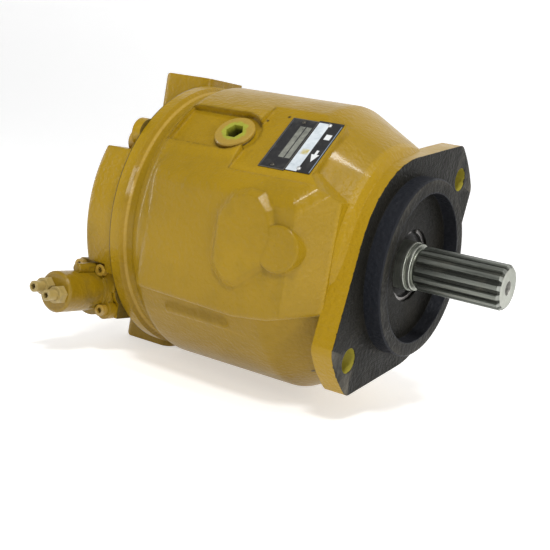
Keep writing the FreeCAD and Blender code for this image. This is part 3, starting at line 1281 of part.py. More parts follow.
piston_profile = [
    ("piston_rear_x", "0"), ("piston_rear_x", "piston_r - 0.6"), ("piston_rear_x + 0.6", "piston_r"),
    ("piston_head_x - 2", "piston_r"), ("piston_head_x", "piston_r - 2"), ("piston_head_x", "piston_neck_r"),
    ("tilt_x - ball_r * 0.6", "piston_neck_r"), ("tilt_x - ball_r * 0.6", "0"),
]
slipper_profile = [
    ("slipper_rear_x", "0"), ("slipper_rear_x", "slipper_neck_r - 0.6"), ("slipper_rear_x + 1", "slipper_neck_r"),
    ("slipper_collar_x", "slipper_neck_r"), ("slipper_collar_x", "slipper_collar_r"),
    ("slipper_face_x", "slipper_collar_r"), ("slipper_face_x", "slipper_land_r"),
    ("slipper_face_x - slipper_pocket", "slipper_land_r"), ("slipper_face_x - slipper_pocket", "oil_hole_r"),
    ("tilt_x", "oil_hole_r"), ("tilt_x", "0"),
]
for i, angle in enumerate(PISTON_ANGLES):
    tag = str(i + 1)
    y, z = about_x("piston_pitch_r", angle)
    turned_piston = turned("piston_turned_" + tag, piston_profile, ("0", y, z))
    ball = sphere("piston_ball_" + tag, "ball_r", ("tilt_x", y, z))
    hollow_bore = cylinder("piston_hollow_" + tag, "piston_hollow_r", "piston_hollow_x - piston_rear_x + 1",
                           ("piston_rear_x - 1", y, z))
    oil = cylinder("piston_oil_" + tag, "oil_hole_r", "60", ("tilt_x - 50", y, z))
    node("piston_" + tag, cut("piston_solid_" + tag, fuse("piston_joined_" + tag, [turned_piston, ball]),
                              [hollow_bore, oil]))
    turned_slipper = turned("slipper_turned_" + tag, slipper_profile, ("0", y, z))
    socket = sphere("slipper_socket_" + tag, "ball_socket_r", ("tilt_x", y, z))
    mouth = cone("slipper_mouth_" + tag, "slipper_neck_r - 1.8", "ball_r - 1.2", "slipper_neck_r * 0.5",
                 ("slipper_rear_x - 0.5", y, z))
    node("slipper_" + tag, cut("slipper_solid_" + tag, turned_slipper, [socket, mouth]))

retainer_disc = cylinder("retainer_disc", "retainer_r", "retainer_front_x - retainer_rear_x",
                         ("retainer_rear_x", "0", "0"))
retainer_tools = [sphere("retainer_seat", "retainer_seat_r", ("tilt_x", "0", "0"))]
for i, angle in enumerate(PISTON_ANGLES):
    y, z = about_x("piston_pitch_r", angle)
    retainer_tools.append(cylinder("retainer_hole_%d" % (i + 1), "retainer_hole_r",
                                   "retainer_front_x - retainer_rear_x + 2", ("retainer_rear_x - 1", y, z)))
node("retainer_plate", cut("retainer_solid", retainer_disc, retainer_tools))

guide_sphere = sphere("guide_sphere", "guide_ball_r", ("tilt_x", "0", "0"))
guide_window = cylinder("guide_window", "guide_ball_r + 5", "guide_front_x - guide_skirt_x",
                        ("guide_skirt_x", "0", "0"))
guide_skirt = cylinder("guide_skirt", "guide_skirt_r", "guide_skirt_x + 1 - guide_rear_x", ("guide_rear_x", "0", "0"))
guide_bore = cylinder("guide_bore", "guide_bore_r", "guide_front_x - guide_rear_x + 2", ("guide_rear_x - 1", "0", "0"))
node("ball_guide", cut("guide_solid", fuse("guide_joined", [common("guide_cut", [guide_sphere, guide_window]),
                                                            guide_skirt]), [guide_bore]))

seat_parts = []
for label, x0, x1 in (("front", "spring_front_x", "barrel_pocket_front_x - 1"),
                      ("rear", "barrel_pocket_rear_x + 1", "spring_rear_x")):
    seat_parts.append(turned("spring_seat_" + label, ring_points("spline_r + 0.4", "barrel_pocket_r - 0.2", x0, x1)))
node("barrel_spring_seats", group("spring_seats", seat_parts))
node("barrel_spring", coil("barrel", "spring_pitch_r", "spring_wire_r", "spring_turns",
                           "spring_front_x - spring_rear_x", ("spring_rear_x + spring_wire_r", "0", "0"), "X"))
pins = []
for i, angle in enumerate(PIN_ANGLES):
    y, z = about_x("pin_pitch_r", angle)
    pins.append(cylinder("hold_pin_%d" % (i + 1), "pin_r", "guide_rear_x - barrel_pocket_front_x + 1",
                         ("barrel_pocket_front_x - 1", y, z)))
node("hold_down_pins", group("hold_pins", pins))

# ---------------------------------------------------------------- swashplate and stroke control
swash_parts = [cylinder("swash_disc", "swash_r", "swash_front_x - swash_face_x", ("swash_face_x", "0", "0"))]
for side, name in ((-1, "low"), (1, "high")):
    low_z = "cheek_inner_z" if side > 0 else "-1 * cheek_outer_z"
    arc = cylinder("cheek_arc_" + name, "swash_arc_r", "cheek_outer_z - cheek_inner_z", ("tilt_x", "0", low_z), "Z")
    half_box = box("cheek_box_" + name, ("swash_arc_r + 1", "2 * swash_arc_r + 2", "cheek_outer_z - cheek_inner_z + 2"),
                   ("swash_face_x", "-1 * swash_arc_r - 1", low_z + " - 1"))
    swash_parts.append(common("cheek_" + name, [arc, half_box]))
    arm_y = "0" if side > 0 else "-1 * arm_y"
    swash_parts.append(box("arm_" + name, ("arm_front_x - swash_face_x", "arm_y", "2 * arm_half_z"),
                           ("swash_face_x", arm_y, "-1 * arm_half_z")))
    pad_y = "62" if side > 0 else "-1 * arm_y"
    swash_parts.append(box("arm_pad_" + name, ("swash_face_x - arm_rear_x + 1", "arm_y - 62", "2 * arm_half_z"),
                           ("arm_rear_x", pad_y, "-1 * arm_half_z")))
swash_bore = cone("swash_bore", "swash_bore_r", "swash_flare_r", "swash_front_x - swash_face_x",
                  ("swash_face_x", "0", "0"))
swash_run_out = cylinder("swash_run_out", "swash_flare_r", "40", ("swash_front_x", "0", "0"))
node("swashplate", cut("swash_solid", fuse("swash_joined", swash_parts), [swash_bore, swash_run_out]))

shells = []
for side, name in ((-1, "low"), (1, "high")):
    low_z = "shell_inner_z" if side > 0 else "-1 * shell_outer_z"
    height = "shell_outer_z - shell_inner_z"
    outer_arc = cylinder("shell_outer_" + name, "cradle_r", height, ("tilt_x", "0", low_z), "Z")
    inner_arc = cylinder("shell_inner_" + name, "cradle_r - shell_thick", height + " + 2",
                         ("tilt_x", "0", low_z + " - 1"), "Z")
    window = box("shell_window_" + name, ("cradle_r", "2 * cradle_half_y", height + " + 2"),
                 ("tilt_x + 20", "-1 * cradle_half_y", low_z + " - 1"))
    shells.append(common("shell_" + name, [cut("shell_ring_" + name, outer_arc, [inner_arc]), window]))
node("cradle_bearings", group("cradle_shells", shells))

cup_profile = [
    ("cup_rear_x", "cup_bore_r"), ("cup_rear_x", "cup_r - 0.8"), ("cup_rear_x + 0.8", "cup_r"),
    ("cup_head_x - 2", "cup_r"), ("cup_head_x", "cup_r - 2"), ("cup_head_x", "tip_r * 0.72"),
    ("tilt_x - tip_r * 0.5", "tip_r * 0.72"), ("tilt_x - tip_r * 0.5", "0"), ("cup_floor_x", "0"),
    ("cup_floor_x", "cup_bore_r"),
]
node("control_piston", fuse("control_piston_solid", [
    turned("control_cup", cup_profile, ("0", "-1 * guide_y", "0")),
    sphere("control_tip", "tip_r", ("tilt_x", "-1 * guide_y", "0"))]))
bias_profile = [
    ("cup_rear_x", "bias_bore_r"), ("cup_rear_x", "bias_r"), ("bias_flange_x", "bias_r"),
    ("bias_flange_x", "bias_flange_r"), ("cup_head_x - 1", "bias_flange_r"), ("cup_head_x", "bias_flange_r - 1"),
    ("cup_head_x", "tip_r * 0.72"), ("tilt_x - tip_r * 0.5", "tip_r * 0.72"), ("tilt_x - tip_r * 0.5", "0"),
    ("cup_floor_x - 2", "0"), ("cup_floor_x - 2", "bias_bore_r"),
]
node("bias_piston", fuse("bias_piston_solid", [turned("bias_cup", bias_profile, ("0", "guide_y", "0")),
                                               sphere("bias_tip", "tip_r", ("tilt_x", "guide_y", "0"))]))
node("bias_spring", coil("bias", "bias_spring_r", "bias_wire_r", "bias_turns", "bias_flange_x - joint_x",
                         ("joint_x + bias_wire_r", "guide_y", "0"), "X"))
rods = []
for sign, label, radius in ((-1, "control", "guide_rod_r"), (1, "bias", "bias_rod_r")):
    centre = "%d * guide_y" % sign
    rods.append(fuse(label + "_rod", [
        cylinder(label + "_rod_slide", radius, "guide_rod_x - joint_x", ("joint_x", centre, "0")),
        cylinder(label + "_rod_stub", "rod_stub_r", "rod_stub_len",
                 ("joint_x - rod_stub_len", centre, "0"))]))
node("piston_guides", group("guide_rods", rods))

# ---------------------------------------------------------------- check and export
os.makedirs("parts", exist_ok=True)
doc.recompute()
for obj in doc.Objects:
    if "Invalid" in obj.State or "Error" in obj.State:
        raise RuntimeError("feature failed: " + obj.Label)
for name, obj in NODES.items():
    if obj.Shape.isNull() or not obj.Shape.isValid() or not obj.Shape.Solids:
        raise RuntimeError("no sound solid in " + name)
    obj.Shape.exportStep(os.path.join("parts", name + ".step"))
print("exported", len(NODES), "parts")
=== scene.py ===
import bpy
import bmesh
import math
from mathutils import Matrix, Vector


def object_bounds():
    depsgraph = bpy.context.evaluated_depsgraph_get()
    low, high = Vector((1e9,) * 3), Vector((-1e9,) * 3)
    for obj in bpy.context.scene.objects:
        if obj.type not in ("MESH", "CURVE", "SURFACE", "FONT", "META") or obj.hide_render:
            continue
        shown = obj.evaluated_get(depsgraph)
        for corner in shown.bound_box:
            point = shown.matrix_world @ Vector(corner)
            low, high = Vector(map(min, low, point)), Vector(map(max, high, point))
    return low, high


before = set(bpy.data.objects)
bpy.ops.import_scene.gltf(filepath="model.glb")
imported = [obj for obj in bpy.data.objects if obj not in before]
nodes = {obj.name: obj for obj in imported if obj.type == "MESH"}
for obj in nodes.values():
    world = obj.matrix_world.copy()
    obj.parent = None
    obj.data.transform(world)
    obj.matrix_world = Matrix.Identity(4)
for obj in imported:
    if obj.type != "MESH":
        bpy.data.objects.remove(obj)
cad_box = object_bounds()


# ---------------------------------------------------------------- node helpers
class Mat:
    """A small builder around one node tree."""

    def __init__(self, name):
        self.mat = bpy.data.materials.new(name)
        self.mat.use_nodes = True
        self.tree = self.mat.node_tree
        self.tree.nodes.clear()
        self.out = self.tree.nodes.new("ShaderNodeOutputMaterial")
        self.bsdf = self.tree.nodes.new("ShaderNodeBsdfPrincipled")
        self.link(self.bsdf.outputs[0], self.out.inputs[0])
        self.coord = self.tree.nodes.new("ShaderNodeTexCoord").outputs["Object"]

    def link(self, a, b):
        self.tree.links.new(a, b)

    def feed(self, socket, value):
        if isinstance(value, (int, float, tuple)):
            socket.default_value = value
        else:
            self.link(value, socket)

    def noise(self, scale, detail=4.0, rough=0.55, distortion=0.0, vector=None):
        n = self.tree.nodes.new("ShaderNodeTexNoise")
        n.inputs["Scale"].default_value = scale
        n.inputs["Detail"].default_value = detail
        n.inputs["Roughness"].default_value = rough
        n.inputs["Distortion"].default_value = distortion
        self.link(vector or self.coord, n.inputs["Vector"])
        return n.outputs["Fac"]

    def voronoi(self, scale, feature="F1", vector=None):
        n = self.tree.nodes.new("ShaderNodeTexVoronoi")
        n.feature = feature
        n.inputs["Scale"].default_value = scale
        self.link(vector or self.coord, n.inputs["Vector"])
        return n.outputs["Distance"]

    def ramp(self, value, stops):
        n = self.tree.nodes.new("ShaderNodeValToRGB")
        ramp = n.color_ramp
        while len(ramp.elements) < len(stops):
            ramp.elements.new(0.5)
        for element, (pos, colour) in zip(ramp.elements, stops):
            element.position = pos
            if isinstance(colour, (int, float)):
                colour = (colour, colour, colour)
            element.color = (*colour, 1.0)
        self.link(value, n.inputs[0])
        return n.outputs[0]

    def math(self, op, a, b=0.0, c=0.0, clamp=False):
        n = self.tree.nodes.new("ShaderNodeMath")
        n.operation = op
        n.use_clamp = clamp
        self.feed(n.inputs[0], a)
        self.feed(n.inputs[1], b)
        self.feed(n.inputs[2], c)
        return n.outputs[0]

    def band(self, value, low, high, soft):
        """1 between low and high, falling to 0 over soft."""
        up = self.remap(value, low - soft, low, 0.0, 1.0)
        down = self.remap(value, high, high + soft, 1.0, 0.0)
        return self.math("MULTIPLY", up, down)

    def remap(self, value, a, b, c, d):
        n = self.tree.nodes.new("ShaderNodeMapRange")
        n.clamp = True
        self.feed(n.inputs[0], value)
        for i, v in enumerate((a, b, c, d)):
            n.inputs[i + 1].default_value = v
        return n.outputs[0]

    def mix(self, fac, a, b, blend="MIX"):
        n = self.tree.nodes.new("ShaderNodeMix")
        n.data_type = "RGBA"
        n.blend_type = blend
        self.feed(n.inputs[0], fac)
        for socket, value in ((n.inputs[6], a), (n.inputs[7], b)):
            if isinstance(value, tuple):
                socket.default_value = (*value, 1.0)
            else:
                self.link(value, socket)
        return n.outputs[2]

    def axes(self, vector=None):
        n = self.tree.nodes.new("ShaderNodeSeparateXYZ")
        self.link(vector or self.coord, n.inputs[0])
        return n.outputs[0], n.outputs[1], n.outputs[2]

    def bump(self, height, strength, distance, under=None):
        n = self.tree.nodes.new("ShaderNodeBump")
        n.inputs["Strength"].default_value = strength
        n.inputs["Distance"].default_value = distance
        self.link(height, n.inputs["Height"])
        if under is not None:
            self.link(under, n.inputs["Normal"])
        return n.outputs[0]

    def scaled(self, factors, vector=None):
        n = self.tree.nodes.new("ShaderNodeMapping")
        n.inputs["Scale"].default_value = factors
        self.link(vector or self.coord, n.inputs["Vector"])
        return n.outputs[0]

    def soft_edges(self, radius):
        """Normals rolled over the edges, as on a casting."""
        n = self.tree.nodes.new("ShaderNodeBevel")
        n.samples = 6
        self.feed(n.inputs["Radius"], radius)
        return n.outputs[0]

    def radius(self):
        """Distance from the shaft axis."""
        x, y, z = self.axes()
        return self.math("SQRT", self.math("ADD", self.math("MULTIPLY", y, y), self.math("MULTIPLY", z, z)))

    def above(self, value, level, soft=0.0002):
        return self.remap(value, level - soft, level + soft, 0.0, 1.0)

    def near(self, point, size, soft=0.0006):
        """1 within size of a point, in metres."""
        n = self.tree.nodes.new("ShaderNodeVectorMath")
        n.operation = "DISTANCE"
        self.link(self.coord, n.inputs[0])
        n.inputs[1].default_value = point
        return self.remap(n.outputs["Value"], size - soft, size + soft, 1.0, 0.0)

    def both(self, a, b):
        return self.math("MULTIPLY", a, b)

    def either(self, a, b):
        return self.math("MAXIMUM", a, b)

    def flip(self, a):
        return self.math("SUBTRACT", 1.0, a)

    def edge(self):
        """About 0.5 on flat faces, higher on convex edges."""
        n = self.tree.nodes.new("ShaderNodeNewGeometry")
        return n.outputs["Pointiness"]

    def set(self, **values):
        names = {"color": "Base Color", "rough": "Roughness", "metal": "Metallic", "normal": "Normal",
                 "coat": "Coat Weight", "coat_rough": "Coat Roughness", "spec": "Specular IOR Level"}
        for key, value in values.items():
            socket = self.bsdf.inputs[names[key]]
            if key == "color" and isinstance(value, tuple):
                value = (*value, 1.0)
            self.feed(socket, value)
        return self.mat


def assign(material, *names):
    for name in names:
        obj = nodes[name]
        obj.data.materials.clear()
        obj.data.materials.append(material)


# ---------------------------------------------------------------- paint
OCHRE = (0.325, 0.197, 0.004)
IRON = (0.16, 0.15, 0.14)
BLACK = (0.006, 0.006, 0.0045)


EAR_OFFSET = 0.064


def shade(colour, factor):
    return tuple(c * factor for c in colour)


def coat(m, base=OCHRE, peel=1.0, radius=0.0008):
    """Glossy sprayed paint: base colour, roughness and normal sockets."""
    big = m.noise(9, 3, 0.55)
    mid = m.noise(55, 5, 0.6)
    peel_noise = m.noise(330, 2, 0.45)
    grain = m.noise(900, 2, 0.5)
    colour = m.mix(m.remap(big, 0.32, 0.68, 0.0, 1.0), shade(base, 0.9), shade(base, 1.08))
    colour = m.mix(m.remap(mid, 0.5, 0.78, 0.0, 0.3), colour, (base[0] * 0.62, base[1] * 0.66, base[2] * 0.8))
    # painted highlight: convex edges lightened towards a brighter copy of the paint colour
    edge = m.edge()
    colour = m.mix(m.remap(edge, 0.53, 0.62, 0.0, 0.35), colour, shade(base, 1.45))
    # painted shade: concave creases and hollows darkened towards a dark olive
    hollow_shade = (base[0] * 0.35, base[1] * 0.42, base[2] * 0.9)
    colour = m.mix(m.remap(edge, 0.47, 0.38, 0.0, 0.55), colour, hollow_shade)
    # painted shade: the paint darkens towards the bottom, below z = -20 mm, standing in for shade on the
    # underside
    under = m.remap(m.axes()[2], -0.02, -0.1, 0.0, 0.34)
    colour = m.mix(under, colour, (base[0] * 0.3, base[1] * 0.28, base[2] * 0.3))
    specks = m.voronoi(140)
    gate = m.noise(23, 2, 0.5)
    chips = m.both(m.remap(specks, 0.045, 0.02, 0.0, 1.0), m.above(gate, 0.66, 0.01))
    colour = m.mix(chips, colour, (0.05, 0.038, 0.02))
    height = m.math("ADD", m.math("MULTIPLY", peel_noise, 0.75), m.math("MULTIPLY", grain, 0.12))
    height = m.math("ADD", height, m.math("MULTIPLY", mid, 0.5))
    height = m.math("SUBTRACT", height, m.math("MULTIPLY", chips, 0.5))
    normal = m.bump(height, 0.85 * peel, 0.0012, m.soft_edges(radius))
    rough = m.remap(mid, 0.3, 0.7, 0.32, 0.46)
    return colour, rough, normal, mid


def joint_line(m, colour):
    x = m.axes()[0]
    wobble = m.math("MULTIPLY", m.math("SUBTRACT", m.noise(160, 2, 0.5), 0.5), 0.0006)
    line = m.band(m.math("ADD", x, wobble), -0.1885, -0.1875, 0.0003)
    return m.mix(m.math("MULTIPLY", line, 0.8), colour, (0.055, 0.042, 0.012))


def housing_coat():
    m = Mat("housing_coat")
    x, y, z = m.axes()
    r = m.radius()
    front_of_flange = m.above(x, -0.0162, 0.0008)
    cast = m.both(m.flip(front_of_flange), m.above(x, -0.172, 0.001))
    colour, rough, normal, mid = coat(m, radius=m.remap(cast, 0.0, 1.0, 0.0009, 0.0035))
    colour = joint_line(m, colour)
    # painted highlight: a thin light line along the housing's rear rim edge
    rim_edge_highlight = m.both(m.band(x, -0.1768, -0.1756, 0.0005), m.above(r, 0.0975, 0.0006))
    colour = m.mix(m.math("MULTIPLY", rim_edge_highlight, 0.45), colour, (0.62, 0.42, 0.1))
    # painted highlight: the flange rim painted lighter than the body
    flange_rim_highlight = m.both(front_of_flange, m.above(r, 0.074, 0.001))
    colour = m.mix(m.math("MULTIPLY", flange_rim_highlight, 0.5), colour, shade(OCHRE, 1.22))
    for point, size in NICKS:
        colour = m.mix(m.near(point, size), colour, (0.03, 0.022, 0.012))
    ears = m.band(x, -0.0155, -0.0003, 0.0002)
    for sign in (-1.0, 1.0):
        offset = (m.math("SUBTRACT", y, sign * EAR_OFFSET), m.math("SUBTRACT", z, sign * EAR_OFFSET))
        across = m.math("SQRT", m.math("ADD", *[m.math("MULTIPLY", v, v) for v in offset]))
        hole = m.both(ears, m.flip(m.above(across, 0.0092, 0.0001)))
        colour = m.mix(m.math("MULTIPLY", hole, 0.8), colour, (0.33, 0.31, 0.05))
    # bare iron inside the shell
    limit = m.remap(x, -0.062, -0.038, 0.0884, 0.0766)
    inside = m.both(m.above(m.math("SUBTRACT", limit, r), 0.0, 0.0002), m.flip(m.above(x, -0.0385, 0.0002)))
    hub = m.both(m.above(m.math("SUBTRACT", 0.0672, r), 0.0, 0.0002), m.flip(m.above(x, -0.0125, 0.0002)))
    face = m.both(m.flip(m.above(x, -0.18785, 0.0001)), m.flip(m.above(r, 0.0938, 0.0003)))
    bare = m.either(m.either(inside, hub), face)
    colour = m.mix(bare, colour, m.mix(mid, shade(IRON, 0.8), shade(IRON, 1.25)))
    # black on the mounting face, the pilot and its recess, ragged along the rim
    ragged = m.math("MULTIPLY", m.math("SUBTRACT", m.noise(210, 5, 0.7), 0.5), 0.0042)
    chipped = m.above(m.math("ADD", x, m.math("MAXIMUM", ragged, 0.0)), -0.0003, 0.0002)
    bore = m.both(m.above(x, -0.0125, 0.0002), m.flip(m.above(r, 0.027, 0.0002)))
    black = m.either(chipped, bore)
    rings = m.math("SINE", m.math("MULTIPLY", r, 5200.0))
    mottle = m.noise(38, 6, 0.62)
    dark = m.mix(m.remap(mottle, 0.4, 0.8, 0.0, 1.0), BLACK, (0.016, 0.0145, 0.0105))
    dark = m.mix(m.remap(rings, 0.2, 1.0, 0.0, 0.22), dark, (0.075, 0.068, 0.06))
    # painted shade: the pilot recess walls darkened towards a dark blue-grey
    recess_wall_shade = m.either(m.both(m.band(r, 0.0626, 0.064, 0.0003), m.above(x, 0.0004, 0.0002)),
                    m.both(m.band(r, 0.0528, 0.0540, 0.0003), m.above(x, 0.0024, 0.0002)))
    dark = m.mix(m.math("MULTIPLY", recess_wall_shade, 0.75), dark, (0.016, 0.018, 0.024))
    rubbed = m.both(m.near((0.0, 0.055, -0.075), 0.02, 0.014), m.remap(mottle, 0.45, 0.65, 0.0, 1.0))
    dark = m.mix(m.math("MULTIPLY", rubbed, 0.55), dark, (0.13, 0.12, 0.1))
    worn = m.both(m.remap(m.edge(), 0.56, 0.66, 0.0, 1.0), m.remap(mottle, 0.35, 0.6, 0.0, 1.0))
    dark = m.mix(m.math("MULTIPLY", worn, 0.6), dark, (0.2, 0.18, 0.14))
    colour = m.mix(black, colour, dark)
    rough = m.math("ADD", rough, m.math("MULTIPLY", black, 0.1))
    rough = m.math("ADD", rough, m.math("MULTIPLY", bare, 0.3))
    clear = m.remap(m.either(black, bare), 0.0, 1.0, 0.2, 0.0)
    return m.set(color=colour, rough=rough, normal=normal, coat=clear, coat_rough=0.1,
                 spec=m.remap(black, 0.0, 1.0, 0.18, 0.1))


def plate_coat():
    m = Mat("port_plate_coat")
    x, y, z = m.axes()
    r = m.radius()
    cast = m.flip(m.either(m.above(x, -0.1965, 0.0008), m.above(m.math("ABSOLUTE", z), 0.1045, 0.0006)))
    colour, rough, normal, mid = coat(m, radius=m.remap(cast, 0.0, 1.0, 0.001, 0.0035))
    colour = joint_line(m, colour)
    # bare metal: port threads, bearing bore, joint face
    ax = m.math("ADD", x, 0.212)
    ay = m.math("SUBTRACT", y, 0.015)
    port_r = m.math("SQRT", m.math("ADD", m.math("MULTIPLY", ax, ax), m.math("MULTIPLY", ay, ay)))
    top = m.above(z, 0.02, 0.001)
    port_limit = m.remap(top, 0.0, 1.0, 0.0177, 0.0207)
    port = m.both(m.above(m.math("SUBTRACT", port_limit, port_r), 0.0, 0.0001),
                  m.above(m.math("ABSOLUTE", z), 0.03, 0.001))
    face = m.both(m.above(x, -0.18815, 0.0001), m.flip(m.above(r, 0.0935, 0.0003)))
    inner = m.both(m.above(x, -0.2155, 0.0002), m.flip(m.above(r, 0.0265, 0.0002)))
    bare = m.either(m.either(port, face), inner)
    threads = m.math("SINE", m.math("MULTIPLY", z, 3400.0))
    steel = m.mix(m.remap(threads, -0.6, 0.6, 0.0, 1.0), (0.1, 0.1, 0.09), (0.32, 0.32, 0.3))
    steel = m.mix(port, m.mix(mid, shade(IRON, 0.9), shade(IRON, 1.5)), steel)
    colour = m.mix(bare, colour, steel)
    clear = m.remap(bare, 0.0, 1.0, 0.2, 0.0)
    return m.set(color=colour, rough=rough, normal=normal, coat=clear, coat_rough=0.1, spec=0.2,
                 metal=m.math("MULTIPLY", bare, 0.8))


def valve_coat():
    m = Mat("valve_coat")
    x, y, z = m.axes()
    colour, rough, normal, mid = coat(m, shade(OCHRE, 0.92), 0.8, 0.0014)
    grime = m.both(m.remap(mid, 0.42, 0.7, 0.0, 1.0), m.band(y, -0.105, -0.086, 0.006))
    colour = m.mix(m.math("MULTIPLY", grime, 0.55), colour, (0.12, 0.085, 0.025))
    return m.set(color=colour, rough=rough, normal=normal, coat=0.32, coat_rough=0.15, spec=0.28)


def small_coat(name, base, peel=0.6):
    m = Mat(name)
    colour, rough, normal, mid = coat(m, base, peel, 0.0005)
    worn = m.both(m.remap(m.edge(), 0.57, 0.7, 0.0, 1.0), m.remap(mid, 0.5, 0.6, 0.0, 1.0))
    colour = m.mix(m.math("MULTIPLY", worn, 0.7), colour, (0.34, 0.31, 0.24))
    return m.set(color=colour, rough=rough, normal=normal, coat=0.3, coat_rough=0.18, spec=0.3)


def plug_coat():
    m = Mat("plug_coat")
    x, y, z = m.axes()
    colour, rough, normal, mid = coat(m, (0.36, 0.23, 0.03), 0.7, 0.0005)
    ax = m.math("ADD", x, 0.115)
    across = m.math("MULTIPLY", m.math("ADD", y, z), math.sqrt(0.5))
    off = m.math("SQRT", m.math("ADD", m.math("MULTIPLY", ax, ax), m.math("MULTIPLY", across, across)))
    smear_noise = m.noise(95, 4, 0.65, 0.6)
    reach = m.math("ADD", m.remap(off, 0.004, 0.0125, 1.0, 0.0), m.math("SUBTRACT", smear_noise, 0.55))
    smear = m.remap(reach, 0.25, 0.4, 0.0, 0.85)
    colour = m.mix(smear, colour, m.mix(smear_noise, (0.2, 0.23, 0.015), (0.42, 0.46, 0.04)))
    height = m.math("SUBTRACT", m.math("MULTIPLY", z, 0.7071), m.math("MULTIPLY", y, 0.7071))
    # painted shade: darkened inside the plug's socket, below its top face
    socket_shade = m.both(m.remap(m.math("ABSOLUTE", height), 0.1005, 0.0965, 0.0, 1.0),
                  m.remap(off, 0.0105, 0.0085, 0.0, 1.0))
    colour = m.mix(m.math("MULTIPLY", socket_shade, 0.75), colour, (0.03, 0.028, 0.008))
    return m.set(color=colour, rough=rough, normal=normal, coat=0.3, coat_rough=0.18, spec=0.3)


# small marks in the paint, each with its centre and size
NICKS = [
    ((-0.0846, -0.0522, 0.0873), 0.0011), ((-0.0985, -0.0574, 0.0826), 0.0009),
    ((-0.0368, -0.0455, 0.0875), 0.0010),
    ((-0.0345, -0.0445, -0.0832), 0.0018), ((-0.0362, -0.0437, -0.0822), 0.0012),
]

assign(housing_coat(), "pump_housing")
assign(plate_coat(), "port_plate")
assign(valve_coat(), "valve_body")
assign(small_coat("screw_coat", (0.40, 0.25, 0.03)), "port_plate_screws", "valve_screws")
assign(small_coat("adjuster_coat", (0.42, 0.31, 0.1)), "adjuster_lock_nuts", "pressure_adjuster",
       "flow_adjuster")
assign(plug_coat(), "drain_plugs")


# ---------------------------------------------------------------- plates
def plate_faces(m):
    """Position along the plate's length and across it, and a mask of its outer face."""
    x, y, z = m.axes()
    along = m.math("MULTIPLY", m.math("ADD", y, z), math.sqrt(0.5))
    out = m.math("MULTIPLY", m.math("SUBTRACT", z, y), math.sqrt(0.5))
    return x, along, m.above(out, 0.09945, 0.00005)


def field(m, x, along, x0, x1, low, high, soft=0.00012):
    return m.both(m.band(x, x0, x1, soft), m.band(along, low, high, soft))


def dark_plate():
    m = Mat("dark_plate")
    x, along, top = plate_faces(m)
    scuff = m.noise(180, 5, 0.65)
    fine = m.noise(900, 2, 0.5)
    colour = m.mix(m.remap(scuff, 0.5, 0.75, 0.0, 0.5), (0.012, 0.012, 0.013), (0.07, 0.068, 0.06))
    grey = m.mix(m.remap(scuff, 0.35, 0.65, 0.0, 1.0), (0.13, 0.135, 0.115), (0.25, 0.255, 0.215))
    for x0, x1 in ((-0.0708, -0.0667), (-0.0657, -0.0618)):
        colour = m.mix(m.both(top, field(m, x, along, x0, x1, -0.0142, 0.0172)), colour, grey)
    rule = field(m, x, along, -0.0795, -0.0793, -0.0235, 0.0228)
    colour = m.mix(m.both(top, rule), colour, (0.12, 0.12, 0.12))
    border = m.flip(field(m, x, along, -0.0801, -0.0606, -0.0248, 0.0239))
    colour = m.mix(m.both(top, m.math("MULTIPLY", border, 0.5)), colour, (0.16, 0.15, 0.12))
    return m.set(color=colour, rough=m.remap(scuff, 0.3, 0.7, 0.25, 0.45), normal=m.bump(fine, 0.1, 0.0002),
                 coat=0.3, coat_rough=0.2)


def light_plate():
    m = Mat("light_plate")
    x, along, top = plate_faces(m)
    scuff = m.noise(160, 5, 0.65)
    fine = m.noise(900, 2, 0.5)
    colour = m.mix(m.remap(scuff, 0.5, 0.75, 0.0, 0.5), (0.012, 0.012, 0.013), (0.07, 0.068, 0.06))
    white = m.mix(m.remap(scuff, 0.3, 0.7, 0.0, 1.0), (0.5, 0.56, 0.6), (0.72, 0.77, 0.8))
    smear = m.both(field(m, x, along, -0.0565, -0.0525, -0.0075, -0.0035, 0.0012),
                   m.remap(scuff, 0.4, 0.6, 0.3, 1.0))
    white = m.mix(smear, white, (0.5, 0.42, 0.14))
    colour = m.mix(m.both(top, field(m, x, along, -0.0591, -0.0507, -0.0242, 0.0236)), colour, white)
    middle_x = -0.0457
    block = field(m, x, along, middle_x - 0.0022, middle_x + 0.0022, 0.0085, 0.0135)
    tail = field(m, x, along, middle_x - 0.0009, middle_x + 0.0009, -0.0068, -0.0025)
    aside = m.math("ABSOLUTE", m.math("SUBTRACT", x, middle_x))
    taper = m.math("SUBTRACT", m.math("MULTIPLY", m.math("ADD", along, 0.0138), 0.42), aside)
    head = m.both(m.above(taper, 0.0, 0.0001), m.band(along, -0.0138, -0.0066, 0.0001))
    marks = m.either(m.either(block, tail), head)
    colour = m.mix(m.both(top, marks), colour, (0.74, 0.76, 0.76))
    stripe = field(m, x, along, -0.0414, -0.0409, -0.0235, 0.023)
    colour = m.mix(m.both(top, stripe), colour, (0.22, 0.27, 0.33))
    return m.set(color=colour, rough=m.remap(scuff, 0.3, 0.7, 0.25, 0.45), normal=m.bump(fine, 0.1, 0.0002),
                 coat=0.3, coat_rough=0.2)


def rivet_metal():
    m = Mat("rivet_metal")
    x, y, z = m.axes()
    pits = m.noise(700, 4, 0.6)
    bright = m.mix(m.remap(pits, 0.3, 0.7, 0.0, 1.0), (0.55, 0.56, 0.55), (0.82, 0.82, 0.8))
    dull = m.mix(m.remap(pits, 0.3, 0.7, 0.0, 1.0), (0.05, 0.048, 0.04), (0.12, 0.11, 0.09))
    colour = m.mix(m.above(x, -0.0602, 0.0002), dull, bright)
    return m.set(color=colour, rough=m.remap(pits, 0.3, 0.7, 0.25, 0.45), metal=0.85,
                 normal=m.bump(pits, 0.25, 0.0002, m.soft_edges(0.0004)))


assign(dark_plate(), "name_plate")
assign(light_plate(), "direction_plate")
assign(rivet_metal(), "plate_rivets")


